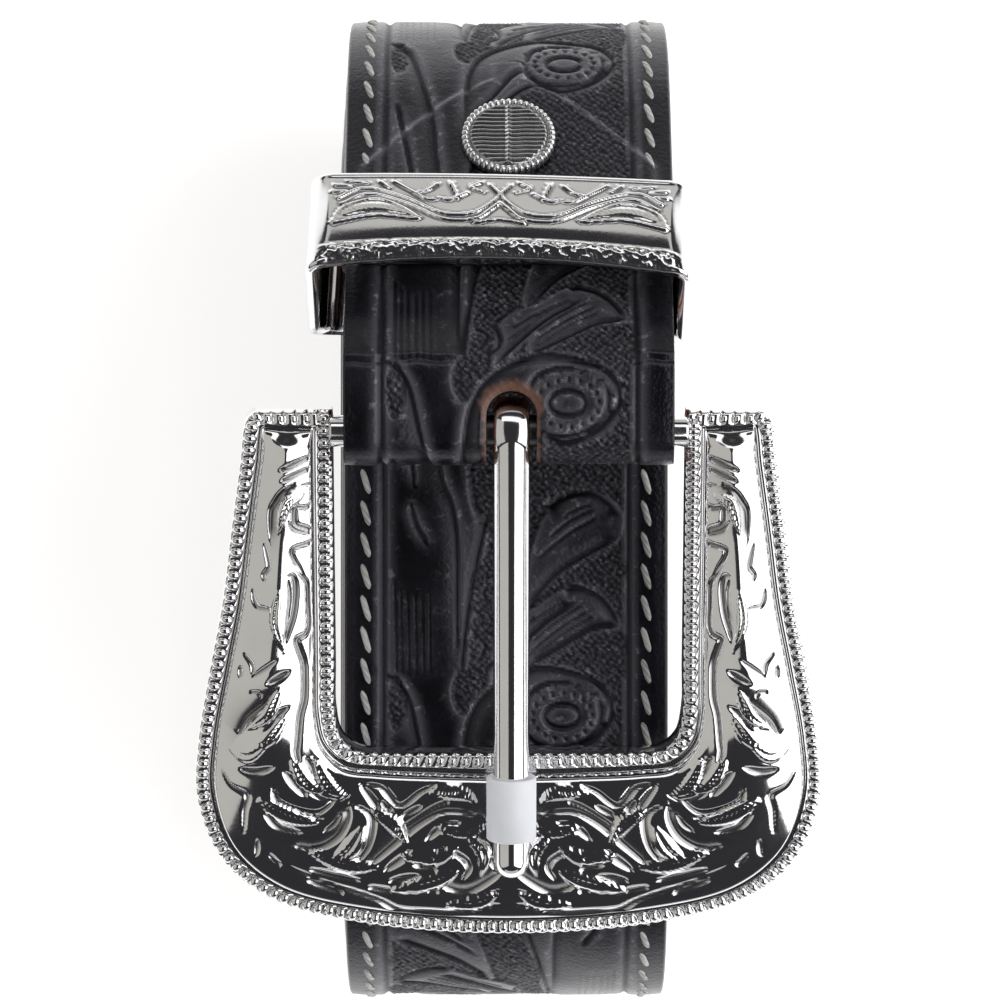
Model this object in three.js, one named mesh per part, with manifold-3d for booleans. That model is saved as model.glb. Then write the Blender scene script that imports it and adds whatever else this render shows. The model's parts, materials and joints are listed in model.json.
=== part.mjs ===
// Western tooled belt, rolled up and lying on its back with its buckle on top.
// Millimetres. X runs across the strap, Y along the roll, +Z up from the floor.
import * as THREE from "three";
import { mergeVertices } from "three/addons/utils/BufferGeometryUtils.js";
import Module from "manifold-3d";

const wasm = await Module();
wasm.setup();

// Strap leather
const STRAP_WIDTH = 38;
const FACE_THICKNESS = 1.8; // tooled leather
const LINING_THICKNESS = 1.5; // the fold-back tab is skived to the same thickness
const LAYER_GAP = 0.3; // clearance between pieces that lie on each other
const TIP_LENGTH = 22; // rounded free end
const TIP_BLUNT = 7; // half width left at the very end

// The roll: flat above and below, round at both ends
const ROLL_FLAT = 68;
const ROLL_RADIUS = 26.5;
const TURN_PITCH = 4.6;
const TURN_DRIFT = 0.35; // each turn lies this much further to -X than the one outside it
const WHOLE_TURNS = 3; // the free end lies on the flat of the turn after these
const TIP_REACH = 57; // length of the free end along that last flat

// The ridge where the strap rises to the buckle
const RIDGE_TILT = 35; // degrees
const CREASE_Y = 17;
const CREASE_RADIUS = 5;
const FOLD_TILT = 3; // degrees past level
const BAR_Y = 8.9;
const TAB_BEND_RADIUS = 6;

// The fold-back tab with its pointed end
const TAB_HALF_WIDTH = 16.9;
const TAB_POINT_LENGTH = 14;
const TAB_POINT_POWER = 0.7;
const TAB_REACH_ANGLE = 45.7; // where the point lies on the round end of the roll, degrees
const LINING_REACH = 24; // how far the lining goes up the ridge

// Buckle bar, prong and its slot
const BAR_RADIUS = 1.8;
const TURNING_CLEARANCE = 0.3;
const EYE_WALL = 1.8;
const PRONG_RADIUS = 2.05;
const PRONG_TO_EDGE = 9.3; // the tip stops this far short of the frame's lower edge
const PRONG_OFFSET_X = 0.3;
const PRONG_STEP = 1.9; // the rod starts this much above the bar
const SLOT_CLEARANCE = 0.8;
const SLOT_REACH = 4.5; // beyond the bar
const SLEEVE_WALL = 0.5;
const SLEEVE_LENGTH = 7.3;
const SLEEVE_TO_TIP = 4.6;

// Buckle frame
const FRAME_HALF_WIDTH = 36.3;
const FRAME_LENGTH = 60.9; // from the bar to the lower edge
const OPENING_HALF_WIDTH = 19.9;
const OPENING_LENGTH = 38.4;
const FRAME_UNDERSIDE = 2.0; // below the bar's axis
const REST_ANGLE = -252; // normal angle of the roll about where the frame rests on it
const CROWN_HEIGHT = 3.3; // above the bar's axis, at the lower bar
const BORDER_WIDTH = 1.9;
const GROOVE_WIDTH = 0.5;
const RIM_BEVEL = 0.35; // how far in the rim rises to the border
const PANEL_BEVEL = 0.4;
const SHOULDER_SHARE = 0.22; // of the panel's width, from its edge up to its shoulder
const FULL_STEP_WIDTH = 7; // sections narrower than this have narrower steps
const BORDER_HEIGHT = 0.62; // share of the crown's height over the underside
const GROOVE_HEIGHT = 0.5;
const PANEL_EDGE_HEIGHT = 0.66;
const SHOULDER_HEIGHT = 0.94;
const RIM_HEIGHT = 0.42;
const OUTER_BEAD_RADIUS = 0.68;
const OUTER_BEAD_PITCH = 1.62;
const INNER_BEAD_RADIUS = 0.56;
const INNER_BEAD_PITCH = 1.34;
const SCROLL_WIDTH = 1.3;
const SCROLL_RISE = 0.35;
const BEAD_SEARCH_STEPS = 600;

// Keeper
const KEEPER_PLAY = 2.7; // free width beside the strap
const KEEPER_LENGTH = 13;
const KEEPER_DEPTH = 13.7;
const KEEPER_WALL = 1.4;
const KEEPER_STAND = 4.3; // free height over the strap
const KEEPER_FOOT = 4;
const KEEPER_CROWN = 0.5;
const KEEPER_RIM = 1.3;
const KEEPER_RIM_RISE = 0.4;
const KEEPER_PLACE = 22.6; // up the ridge from where it leaves the roll
const KEEPER_CORNER = 2.2;

// Snap
const SNAP_RADIUS = 5.6;
const SNAP_HEIGHT = 1.7;
const SNAP_PLACE = 6.2; // up the ridge
const SNAP_POST_RADIUS = 1.2;
const SNAP_BASE_RADIUS = 3;
const SNAP_BASE_THICKNESS = 0.9;

// Prong holes in the free end
const HOLE_COUNT = 5;
const HOLE_PITCH = 25.4;
const HOLE_TO_TIP = 82;
const HOLE_RADIUS = 2.4;

const ARC_STEP = 10; // degrees
const ROUND_SIDES = 16;

const rad = THREE.MathUtils.degToRad;
const strapThickness = FACE_THICKNESS + LAYER_GAP + LINING_THICKNESS;
const strapHalf = STRAP_WIDTH / 2;
const prongLength = FRAME_LENGTH - PRONG_TO_EDGE;
const keeperWidth = STRAP_WIDTH + KEEPER_PLAY + 2 * KEEPER_WALL;
const quarter = Math.PI / 2;

// Roll: reach of a turn's outer surface in the direction of its normal angle (degrees, 90 is up)
const ridgeAngle = 90 - RIDGE_TILT;
const reachAt = (angle) => ROLL_RADIUS + (TURN_PITCH * angle) / 360;
const reachSlope = TURN_PITCH / (2 * Math.PI);
const rollCentreZ = reachAt(-90);
const rollCentreY = (reachAt(-180) - reachAt(0)) / 2;

// A station is a place on a strap surface: y, z, its outward normal angle and its drift across
const driftAt = (angle) => (TURN_DRIFT * Math.min(0, angle - ridgeAngle)) / 360;

function rollStation(angle, depth, side) {
  const a = rad(angle);
  const reach = reachAt(angle) - depth;
  return {
    y: Math.cos(a) * reach - Math.sin(a) * reachSlope + (side * ROLL_FLAT) / 2 + rollCentreY,
    z: Math.sin(a) * reach + Math.cos(a) * reachSlope + rollCentreZ,
    angle,
    x: driftAt(angle),
  };
}

// Stations from the free end outward to where the strap leaves the roll
function rollStations(depth) {
  const tipAngle = -90 - 360 * WHOLE_TURNS;
  const stations = [];
  const start = rollStation(tipAngle, depth, 1);
  const tipSteps = [0, 0.08, 0.2, 0.4, 0.65, 1].map((share) => TIP_REACH - share * TIP_LENGTH);
  for (const reach of tipSteps) stations.push({ ...start, y: start.y - reach, tip: TIP_REACH - reach });
  for (let angle = tipAngle; angle < ridgeAngle; angle += ARC_STEP) {
    const side = Math.cos(rad(angle + ARC_STEP / 2)) > 0 ? 1 : -1;
    const turning = Math.abs(Math.round(angle / 90) % 2) === 1 && angle % 90 === 0;
    if (turning && angle > tipAngle) stations.push(rollStation(angle, depth, -side));
    stations.push(rollStation(angle, depth, side));
  }
  stations.push(rollStation(ridgeAngle, depth, 1));
  return stations;
}

const leaving = rollStation(ridgeAngle, 0, 1);
const ridgeNormal = [Math.cos(rad(ridgeAngle)), Math.sin(rad(ridgeAngle))];
const ridgeDirection = [-ridgeNormal[1], ridgeNormal[0]];

// A place up the ridge, at a depth under its outer surface
function ridgeStation(along, depth) {
  return {
    y: leaving.y + ridgeDirection[0] * along - ridgeNormal[0] * depth,
    z: leaving.z + ridgeDirection[1] * along - ridgeNormal[1] * depth,
    angle: ridgeAngle,
    x: 0,
  };
}

// The crease, the level stretch past it, and the bar under its far end
const creaseAlong = (CREASE_Y - leaving.y) / ridgeDirection[0];
const crease = ridgeStation(creaseAlong, 0);
const foldAngle = 90 + FOLD_TILT;
const foldNormal = [Math.cos(rad(foldAngle)), Math.sin(rad(foldAngle))];
const foldReach = foldNormal[0] * crease.y + foldNormal[1] * crease.z;
const foldInner = BAR_RADIUS + TURNING_CLEARANCE;
const foldOuter = foldInner + FACE_THICKNESS;
const bar = { y: BAR_Y, z: (foldReach - foldOuter - foldNormal[0] * BAR_Y) / foldNormal[1] };

// Centre of the arc that joins two straight runs, each given by normal angle and reach
function bendCentre(angleA, reachA, angleB, reachB, radius) {
  const [a, b] = [rad(angleA), rad(angleB)];
  const spread = Math.sin(b - a);
  const [p, q] = [reachA - radius, reachB - radius];
  return [(p * Math.sin(b) - q * Math.sin(a)) / spread, (q * Math.cos(a) - p * Math.cos(b)) / spread];
}

// Stations round an arc: positive radius bends over, negative bends back
function bend(centre, radius, from, to, step) {
  const count = Math.max(1, Math.round(Math.abs(to - from) / step));
  return Array.from({ length: count + 1 }, (_, i) => {
    const angle = from + ((to - from) * i) / count;
    const a = rad(angle);
    return { y: centre[0] + radius * Math.cos(a), z: centre[1] + radius * Math.sin(a), angle, x: 0 };
  });
}

// Half width of the tab, by how far up it is from its point
const tabHalf = (fromPoint) =>
  TAB_HALF_WIDTH * Math.min(1, Math.max(0.04, fromPoint / TAB_POINT_LENGTH)) ** TAB_POINT_POWER;
const tabPointAlong = -rad(ridgeAngle - TAB_REACH_ANGLE) * reachAt(ridgeAngle);

// Places down the tab, measured up the ridge from where it leaves the roll
function tabAlongs() {
  const shares = [1, 0.8, 0.62, 0.45, 0.3, 0.16, 0.06, 0];
  return [LINING_REACH + 1, ...shares.map((share) => tabPointAlong + share * TAB_POINT_LENGTH)];
}

// A station by its distance along the outer surface, on the ridge or round the end of the roll
function alongStation(along, depth) {
  if (along >= 0) return ridgeStation(along, depth);
  return rollStation(ridgeAngle + THREE.MathUtils.radToDeg(along / reachAt(ridgeAngle)), depth, 1);
}

// The whole face leather by its middle surface, from the free end to the point of the tab
function faceStations() {
  const half = FACE_THICKNESS / 2;
  const stations = rollStations(half);
  const creaseCentre = bendCentre(
    ridgeAngle, ridgeNormal[0] * crease.y + ridgeNormal[1] * crease.z,
    foldAngle, foldReach, CREASE_RADIUS,
  );
  stations.push(...bend(creaseCentre, CREASE_RADIUS - half, ridgeAngle, foldAngle, 8));
  stations.push(...bend([bar.y, bar.z], foldInner + half, foldAngle, 270, 18));
  // Under the bar the leather runs level, then bends down to lie under the ridge
  const tabDepth = FACE_THICKNESS + LAYER_GAP + LINING_THICKNESS / 2;
  const levelReach = -(bar.z - foldInner - half);
  const tabLine = ridgeStation(0, tabDepth);
  const tabReach = -(ridgeNormal[0] * tabLine.y + ridgeNormal[1] * tabLine.z);
  const tabCentre = bendCentre(270, levelReach, 180 + ridgeAngle, tabReach, -TAB_BEND_RADIUS);
  stations.push(...bend(tabCentre, -TAB_BEND_RADIUS, 270, 180 + ridgeAngle, 9));
  for (const along of tabAlongs()) {
    const place = alongStation(along, tabDepth);
    stations.push({ ...place, angle: place.angle + 180, tab: along - tabPointAlong });
  }
  const skived = stations.length - tabAlongs().length;
  return stations.map((station, i) => ({ ...station, thickness: i < skived ? FACE_THICKNESS : LINING_THICKNESS }));
}

function liningStations() {
  const depth = FACE_THICKNESS + LAYER_GAP + LINING_THICKNESS / 2;
  const stations = rollStations(depth);
  for (const share of [0.2, 0.4, 0.7, 1]) stations.push(ridgeStation(LINING_REACH * share, depth));
  return stations.map((station) => ({ ...station, thickness: LINING_THICKNESS }));
}

// Half width of the strap at a station: rounded at the free end, pointed on the tab
function strapHalfWidth(station) {
  if (station.tip !== undefined) {
    const share = Math.min(1, station.tip / TIP_LENGTH);
    return TIP_BLUNT + (strapHalf - TIP_BLUNT) * Math.sin(share * quarter);
  }
  if (station.tab !== undefined) return tabHalf(station.tab);
  return strapHalf;
}

// Closed skin through rings of points, with flat ends
function loft(rings) {
  const size = rings[0].length;
  const points = rings.flat();
  const triangles = [];
  for (let i = 0; i + 1 < rings.length; i += 1) {
    for (let j = 0; j < size; j += 1) {
      const [a, b] = [i * size + j, i * size + ((j + 1) % size)];
      triangles.push([a, b, b + size], [a, b + size, a + size]);
    }
  }
  const last = (rings.length - 1) * size;
  for (const [p, q, r] of THREE.ShapeUtils.triangulateShape(flatten(rings[0]), [])) {
    triangles.push([r, q, p], [last + p, last + q, last + r]);
  }
  return solid(points, triangles);
}

// A ring's points in its own plane, for capping
function flatten(ring) {
  const points = ring.map((p) => new THREE.Vector3(...p));
  const normal = new THREE.Vector3();
  points.forEach((p, i) => normal.add(p.clone().cross(points[(i + 1) % points.length])));
  normal.normalize();
  const across = new THREE.Vector3(1, 0.01, 0.02).projectOnPlane(normal);
  if (across.length() < 0.1) across.set(0.01, 1, 0.02).projectOnPlane(normal);
  across.normalize();
  const up = normal.clone().cross(across);
  return points.map((p) => new THREE.Vector2(p.dot(across), p.dot(up)));
}

function solid(points, triangles) {
  const mesh = new wasm.Mesh({
    numProp: 3,
    vertProperties: new Float32Array(points.flat()),
    triVerts: new Uint32Array(triangles.flat()),
  });
  mesh.merge();
  const body = new wasm.Manifold(mesh);
  if (body.volume() >= 0) return body;
  return solid(points, triangles.map(([a, b, c]) => [a, c, b]));
}

// Ribbon of leather through its stations
function ribbon(stations, halfWidth) {
  return loft(stations.map((station) => {
    const a = rad(station.angle);
    const half = station.thickness / 2;
    const [dy, dz] = [Math.cos(a) * half, Math.sin(a) * half];
    const [left, right] = [station.x - halfWidth(station), station.x + halfWidth(station)];
    return [
      [left, station.y + dy, station.z + dz],
      [right, station.y + dy, station.z + dz],
      [right, station.y - dy, station.z - dz],
      [left, station.y - dy, station.z - dz],
    ];
  }));
}

// A three.js shape as a solid, placed by a matrix
function fromGeometry(source, matrix = new THREE.Matrix4()) {
  const geometry = source.clone();
  geometry.deleteAttribute("normal");
  geometry.deleteAttribute("uv");
  const merged = mergeVertices(geometry.applyMatrix4(matrix), 1e-4);
  const mesh = new wasm.Mesh({
    numProp: 3,
    vertProperties: new Float32Array(merged.attributes.position.array),
    triVerts: new Uint32Array(merged.index.array),
  });
  return new wasm.Manifold(mesh);
}

// Matrix of a piece whose own +Y stands on a surface at a station
function standing(station, x = 0) {
  const turn = new THREE.Matrix4().makeRotationX(rad(station.angle));
  return new THREE.Matrix4().makeTranslation(x, station.y, station.z).multiply(turn);
}

// Round rod along a station's normal, between two heights
function pinAt(station, x, radius, low, high) {
  const rod = new THREE.CylinderGeometry(radius, radius, high - low, ROUND_SIDES);
  rod.translate(0, (low + high) / 2, 0);
  return fromGeometry(rod, standing(station, x));
}

// Strap pieces
const face = faceStations();
const lining = liningStations();
const snapStation = ridgeStation(SNAP_PLACE, 0);
const slotWidth = 2 * (PRONG_RADIUS + SLOT_CLEARANCE);

// Stations of the prong holes, counted back from the free end
function holeStations(stations, depth) {
  const holes = [];
  let walked = 0;
  for (let i = 1; i < stations.length && holes.length < HOLE_COUNT; i += 1) {
    const [a, b] = [stations[i - 1], stations[i]];
    const step = Math.hypot(b.y - a.y, b.z - a.z);
    while (holes.length < HOLE_COUNT && HOLE_TO_TIP + holes.length * HOLE_PITCH <= walked + step) {
      const share = (HOLE_TO_TIP + holes.length * HOLE_PITCH - walked) / step;
      const mix = (key) => a[key] + (b[key] - a[key]) * share;
      const angle = mix("angle");
      const lift = rad(angle);
      const [y, z] = [mix("y") + Math.cos(lift) * depth, mix("z") + Math.sin(lift) * depth];
      holes.push({ y, z, angle, x: mix("x") });
    }
    walked += step;
  }
  return holes;
}

const holes = holeStations(face, FACE_THICKNESS / 2);
const holeCuts = holes.map((hole) =>
  pinAt(hole, hole.x, HOLE_RADIUS, -strapThickness - LAYER_GAP, LAYER_GAP));

function slotCut() {
  const height = 4 * foldOuter;
  const end = bar.y + SLOT_REACH - slotWidth / 2;
  const box = new THREE.BoxGeometry(slotWidth, 3 * foldOuter, height);
  box.translate(PRONG_OFFSET_X, end - 1.5 * foldOuter, bar.z);
  const round = new THREE.CylinderGeometry(slotWidth / 2, slotWidth / 2, height, ROUND_SIDES);
  round.rotateX(quarter).translate(PRONG_OFFSET_X, end, bar.z);
  return fromGeometry(box).add(fromGeometry(round));
}

const postHole = pinAt(snapStation, 0, SNAP_POST_RADIUS + LAYER_GAP, -strapThickness - LAYER_GAP, LAYER_GAP);
const faceSolid = holeCuts.reduce(
  (body, cut) => body.subtract(cut),
  ribbon(face, strapHalfWidth).subtract(slotCut()).subtract(postHole),
);

// The lining stops round the tab, leaving a narrow strip of it along each edge
function tabNotch() {
  const depth = FACE_THICKNESS + LAYER_GAP + LINING_THICKNESS / 2;
  const alongs = [...tabAlongs(), tabPointAlong - LAYER_GAP];
  const stations = alongs.map((along) => ({
    ...alongStation(along, depth),
    thickness: LINING_THICKNESS + LAYER_GAP,
    fromPoint: along - tabPointAlong,
  }));
  return ribbon(stations, (station) => tabHalf(station.fromPoint) + LAYER_GAP);
}

const liningSolid = holeCuts.reduce(
  (body, cut) => body.subtract(cut),
  ribbon(lining, strapHalfWidth).subtract(tabNotch()),
);

// Buckle frame, in its own plane: x across, v from the bar to the lower edge, w out of the face
const towardRoll = { y: bar.y + ROLL_FLAT / 2 - rollCentreY, z: bar.z - rollCentreZ };
const restReach = reachAt(REST_ANGLE) + TURNING_CLEARANCE + FRAME_UNDERSIDE;
const frameTilt = Math.atan2(towardRoll.z, towardRoll.y)
  + Math.acos(restReach / Math.hypot(towardRoll.y, towardRoll.z)) - quarter;

const framePlace = new THREE.Matrix4()
  .makeTranslation(0, bar.y, bar.z)
  .multiply(new THREE.Matrix4().makeRotationX(frameTilt));

// The frame's sections, down one post and along the lower bar: shares of the named half widths and lengths
const SECTIONS = [
  { innerAcross: 1.05, innerAlong: -0.063, outerAcross: 0.79, outerAlong: -0.039, crown: 0.5 },
  { innerAcross: 1.0, innerAlong: -0.03, outerAcross: 0.822, outerAlong: -0.02, crown: 0.7 },
  { innerAcross: 1.0, innerAlong: 0.1, outerAcross: 0.843, outerAlong: 0.063, crown: 0.74 },
  { innerAcross: 1.0, innerAlong: 0.31, outerAcross: 0.875, outerAlong: 0.195, crown: 0.76 },
  { innerAcross: 1.0, innerAlong: 0.52, outerAcross: 0.907, outerAlong: 0.335, crown: 0.79 },
  { innerAcross: 1.0, innerAlong: 0.73, outerAcross: 0.952, outerAlong: 0.47, crown: 0.83 },
  { innerAcross: 1.0, innerAlong: 0.87, outerAcross: 0.992, outerAlong: 0.61, crown: 0.88 },
  { innerAcross: 0.965, innerAlong: 0.95, outerAcross: 0.998, outerAlong: 0.725, crown: 0.93 },
  { innerAcross: 0.865, innerAlong: 0.994, outerAcross: 0.925, outerAlong: 0.845, crown: 0.97 },
  { innerAcross: 0.68, innerAlong: 1.0, outerAcross: 0.77, outerAlong: 0.927, crown: 1.0 },
  { innerAcross: 0.4, innerAlong: 1.0, outerAcross: 0.48, outerAlong: 0.977, crown: 1.0 },
  { innerAcross: 0.0, innerAlong: 1.0, outerAcross: 0.0, outerAlong: 1.0, crown: 1.0 },
];

// Both outlines and the crown as smooth curves from the left post round to the right one
function mirrored(rows, pick) {
  const half = rows.map(pick);
  const other = half.slice(0, -1).reverse().map(([x, v, w]) => [x, v, w]);
  const points = [...half.map(([x, v, w]) => [-x, v, w]), ...other];
  return new THREE.CatmullRomCurve3(points.map((p) => new THREE.Vector3(...p)), false, "centripetal");
}

const innerEdge = mirrored(SECTIONS, (row) =>
  [row.innerAcross * OPENING_HALF_WIDTH, row.innerAlong * OPENING_LENGTH, row.crown * CROWN_HEIGHT]);
const outerEdge = mirrored(SECTIONS, (row) =>
  [row.outerAcross * FRAME_HALF_WIDTH, row.outerAlong * FRAME_LENGTH, row.crown * CROWN_HEIGHT]);

// Height over the underside is a share of the crown's; each step is measured in from an edge
function borderOf(width) {
  return BORDER_WIDTH * Math.min(1, width / FULL_STEP_WIDTH);
}

function sectionSteps(width) {
  const border = borderOf(width);
  const scale = border / BORDER_WIDTH;
  const rim = RIM_BEVEL * scale;
  const panel = border + GROOVE_WIDTH * scale;
  const edge = panel + PANEL_BEVEL * scale;
  const shoulder = panel + (width - 2 * panel) * SHOULDER_SHARE;
  return [
    { from: 0, height: RIM_HEIGHT },
    { from: rim, height: BORDER_HEIGHT },
    { from: border, height: BORDER_HEIGHT },
    { from: panel, height: GROOVE_HEIGHT },
    { from: edge, height: PANEL_EDGE_HEIGHT },
    { from: shoulder, height: SHOULDER_HEIGHT },
    { from: width / 2, height: 1 },
    { from: width - shoulder, height: SHOULDER_HEIGHT },
    { from: width - edge, height: PANEL_EDGE_HEIGHT },
    { from: width - panel, height: GROOVE_HEIGHT },
    { from: width - border, height: BORDER_HEIGHT },
    { from: width - rim, height: BORDER_HEIGHT },
    { from: width, height: RIM_HEIGHT },
  ];
}

// The frame's section at a share of the way round
function frameSection(share) {
  const inner = innerEdge.getPoint(share);
  const outer = outerEdge.getPoint(share);
  const [dx, dv] = [outer.x - inner.x, outer.y - inner.y];
  const width = Math.hypot(dx, dv);
  const whole = FRAME_UNDERSIDE + (inner.z + outer.z) / 2;
  const at = (from, w) => [inner.x + (dx * from) / width, -(inner.y + (dv * from) / width), w];
  return { width, whole, at };
}

function heightAcross(section, from) {
  const steps = sectionSteps(section.width);
  const next = Math.max(1, steps.findIndex((step) => step.from >= from));
  const [a, b] = [steps[next - 1], steps[next]];
  const share = (from - a.from) / (b.from - a.from);
  return (a.height + (b.height - a.height) * share) * section.whole - FRAME_UNDERSIDE;
}

function frameBody() {
  const count = 40;
  const rings = Array.from({ length: count + 1 }, (_, i) => {
    const section = frameSection(i / count);
    const top = sectionSteps(section.width).map(({ from, height }) =>
      section.at(from, height * section.whole - FRAME_UNDERSIDE));
    return [...top, section.at(section.width, -FRAME_UNDERSIDE), section.at(0, -FRAME_UNDERSIDE)];
  });
  return loft(rings);
}

// Milled beads along a border, a pitch apart
function beads(pick, pitch, radius) {
  const found = [];
  let last;
  for (let i = 6; i <= BEAD_SEARCH_STEPS - 6; i += 1) {
    const section = frameSection(i / BEAD_SEARCH_STEPS);
    const from = pick(section.width);
    const p = new THREE.Vector3(...section.at(from, BORDER_HEIGHT * section.whole - FRAME_UNDERSIDE));
    if (last && p.distanceTo(last) < pitch) continue;
    last = p;
    const bead = new THREE.OctahedronGeometry(radius, 0);
    found.push(fromGeometry(bead, new THREE.Matrix4().makeTranslation(p.x, p.y, p.z)));
  }
  return found;
}

// Raised scrolls: stem and curl by share of the way round and across, curl radius by share of the width
const SCROLLS = [
  { stem: 0.05, stemAcross: 0.66, curl: 0.125, curlAcross: 0.45, radius: 0.2, hand: 1 },
  { stem: 0.14, stemAcross: 0.3, curl: 0.225, curlAcross: 0.55, radius: 0.2, hand: -1 },
  { stem: 0.24, stemAcross: 0.68, curl: 0.315, curlAcross: 0.48, radius: 0.21, hand: 1 },
  { stem: 0.335, stemAcross: 0.3, curl: 0.4, curlAcross: 0.55, radius: 0.21, hand: -1 },
  { stem: 0.41, stemAcross: 0.72, curl: 0.47, curlAcross: 0.48, radius: 0.2, hand: 1 },
];

// Middle line of a scroll: a stem that runs into a curl
function scrollLine(row, mirror) {
  const place = (round, across) => {
    const section = frameSection(mirror ? 1 - round : round);
    const from = across * section.width;
    return new THREE.Vector3(...section.at(from, heightAcross(section, from)));
  };
  const start = place(row.stem, row.stemAcross);
  const centre = place(row.curl, row.curlAcross);
  const radius = row.radius * frameSection(row.curl).width;
  const turn = mirror ? -row.hand : row.hand;
  const toStart = Math.atan2(start.y - centre.y, start.x - centre.x);
  const stemSteps = 3;
  const curlSteps = 9;
  const curlAt = (share) => {
    const angle = toStart + turn * (0.35 + share * 1.45) * Math.PI;
    const arm = radius * (1 - 0.75 * share);
    return new THREE.Vector3(centre.x + arm * Math.cos(angle), centre.y + arm * Math.sin(angle), centre.z);
  };
  const entry = curlAt(0);
  const stem = Array.from({ length: stemSteps }, (_, i) => start.clone().lerp(entry, i / stemSteps));
  return [...stem, ...Array.from({ length: curlSteps + 1 }, (_, i) => curlAt(i / curlSteps))];
}

function scroll(row, mirror) {
  const line = scrollLine(row, mirror);
  const last = line.length - 1;
  return loft(line.map((p, i) => {
    const ahead = line[Math.min(last, i + 1)].clone().sub(line[Math.max(0, i - 1)]);
    const side = new THREE.Vector3(-ahead.y, ahead.x, 0).normalize();
    side.multiplyScalar((SCROLL_WIDTH / 2) * (0.35 + 0.65 * Math.sin((Math.PI * (i + 1)) / (last + 2))));
    const low = p.z - 3 * SCROLL_RISE;
    return [[p.x + side.x, p.y + side.y, low], [p.x, p.y, p.z + SCROLL_RISE], [p.x - side.x, p.y - side.y, low]];
  }));
}

function buckleFrame() {
  const barLength = 2 * OPENING_HALF_WIDTH + 2 * BORDER_WIDTH;
  const rod = new THREE.CylinderGeometry(BAR_RADIUS, BAR_RADIUS, barLength, ROUND_SIDES).rotateZ(quarter);
  const pieces = [frameBody(), fromGeometry(rod)];
  pieces.push(...beads((width) => width - borderOf(width) * 0.55, OUTER_BEAD_PITCH, OUTER_BEAD_RADIUS));
  pieces.push(...beads((width) => borderOf(width) * 0.53, INNER_BEAD_PITCH, INNER_BEAD_RADIUS));
  for (const row of SCROLLS) pieces.push(scroll(row, false), scroll(row, true));
  return wasm.Manifold.union(pieces);
}

// Prong: an eye round the bar and a rod that rests with its sleeve on the lower bar
const sleeveInner = PRONG_RADIUS + TURNING_CLEARANCE;
const sleeveOuter = sleeveInner + SLEEVE_WALL;
const sleeveMiddle = prongLength - SLEEVE_TO_TIP - SLEEVE_LENGTH / 2;
const lowerBarTop = CROWN_HEIGHT + SCROLL_RISE;
const prongTilt = Math.atan((lowerBarTop + TURNING_CLEARANCE + sleeveOuter - PRONG_STEP) / sleeveMiddle);
const prongPlace = new THREE.Matrix4()
  .makeTranslation(PRONG_OFFSET_X, 0, 0)
  .multiply(new THREE.Matrix4().makeRotationX(-prongTilt));

// A rod along the prong from one distance to another, as a lathe with an optional round end
function alongProng(profile) {
  const lathe = new THREE.LatheGeometry(profile.map(([r, v]) => new THREE.Vector2(r, v)), ROUND_SIDES);
  lathe.rotateX(Math.PI).translate(0, 0, PRONG_STEP);
  return fromGeometry(lathe);
}

function prongSolid() {
  const eyeRadius = foldInner + EYE_WALL;
  const eye = new THREE.CylinderGeometry(eyeRadius, eyeRadius, 2 * PRONG_RADIUS, 24).rotateZ(quarter);
  const bore = new THREE.CylinderGeometry(foldInner, foldInner, 4 * PRONG_RADIUS, 24).rotateZ(quarter);
  const end = [0.15, 0.4, 0.65, 0.88, 1].map((share) => [
    PRONG_RADIUS * Math.cos(share * quarter),
    prongLength - PRONG_RADIUS + PRONG_RADIUS * Math.sin(share * quarter),
  ]);
  end[end.length - 1][0] = 0;
  const rod = alongProng([[0, 0], [PRONG_RADIUS, 0], [PRONG_RADIUS, prongLength - PRONG_RADIUS], ...end]);
  return rod.add(fromGeometry(eye)).subtract(fromGeometry(bore));
}

function sleeveSolid() {
  const [low, high] = [sleeveMiddle - SLEEVE_LENGTH / 2, sleeveMiddle + SLEEVE_LENGTH / 2];
  const outline = [[sleeveInner, low], [sleeveOuter, low], [sleeveOuter, high], [sleeveInner, high]];
  return alongProng([...outline, [sleeveInner, low]]);
}

// Keeper: a loop of sheet with its feet turned in under the strap, in the ridge's own frame
const keeperInner = keeperWidth / 2 - KEEPER_WALL;
const keeperX = strapHalf + LAYER_GAP - keeperInner;
const keeperStation = ridgeStation(KEEPER_PLACE, 0);

function keeperSolid() {
  const half = keeperWidth / 2;
  const top = KEEPER_STAND + KEEPER_WALL;
  const bottom = top - KEEPER_DEPTH;
  const outer = new THREE.Shape();
  outer.moveTo(-half + KEEPER_FOOT, bottom);
  outer.lineTo(-half, bottom);
  outer.lineTo(-half, top - KEEPER_CORNER);
  outer.quadraticCurveTo(-half, top, -half + KEEPER_CORNER, top);
  outer.quadraticCurveTo(0, top + 2 * KEEPER_CROWN, half - KEEPER_CORNER, top);
  outer.quadraticCurveTo(half, top, half, top - KEEPER_CORNER);
  outer.lineTo(half, bottom);
  outer.lineTo(half - KEEPER_FOOT, bottom);
  outer.lineTo(half - KEEPER_FOOT, bottom + KEEPER_WALL);
  outer.lineTo(half - KEEPER_WALL, bottom + KEEPER_WALL);
  outer.lineTo(half - KEEPER_WALL, KEEPER_STAND);
  outer.lineTo(-half + KEEPER_WALL, KEEPER_STAND);
  outer.lineTo(-half + KEEPER_WALL, bottom + KEEPER_WALL);
  outer.lineTo(-half + KEEPER_FOOT, bottom + KEEPER_WALL);
  outer.closePath();
  const options = { depth: KEEPER_LENGTH, bevelEnabled: false, curveSegments: 7 };
  const loop = fromGeometry(new THREE.ExtrudeGeometry(outer, options).translate(0, 0, -KEEPER_LENGTH / 2));
  return wasm.Manifold.union([loop, ...keeperRelief(top)]);
}

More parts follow.
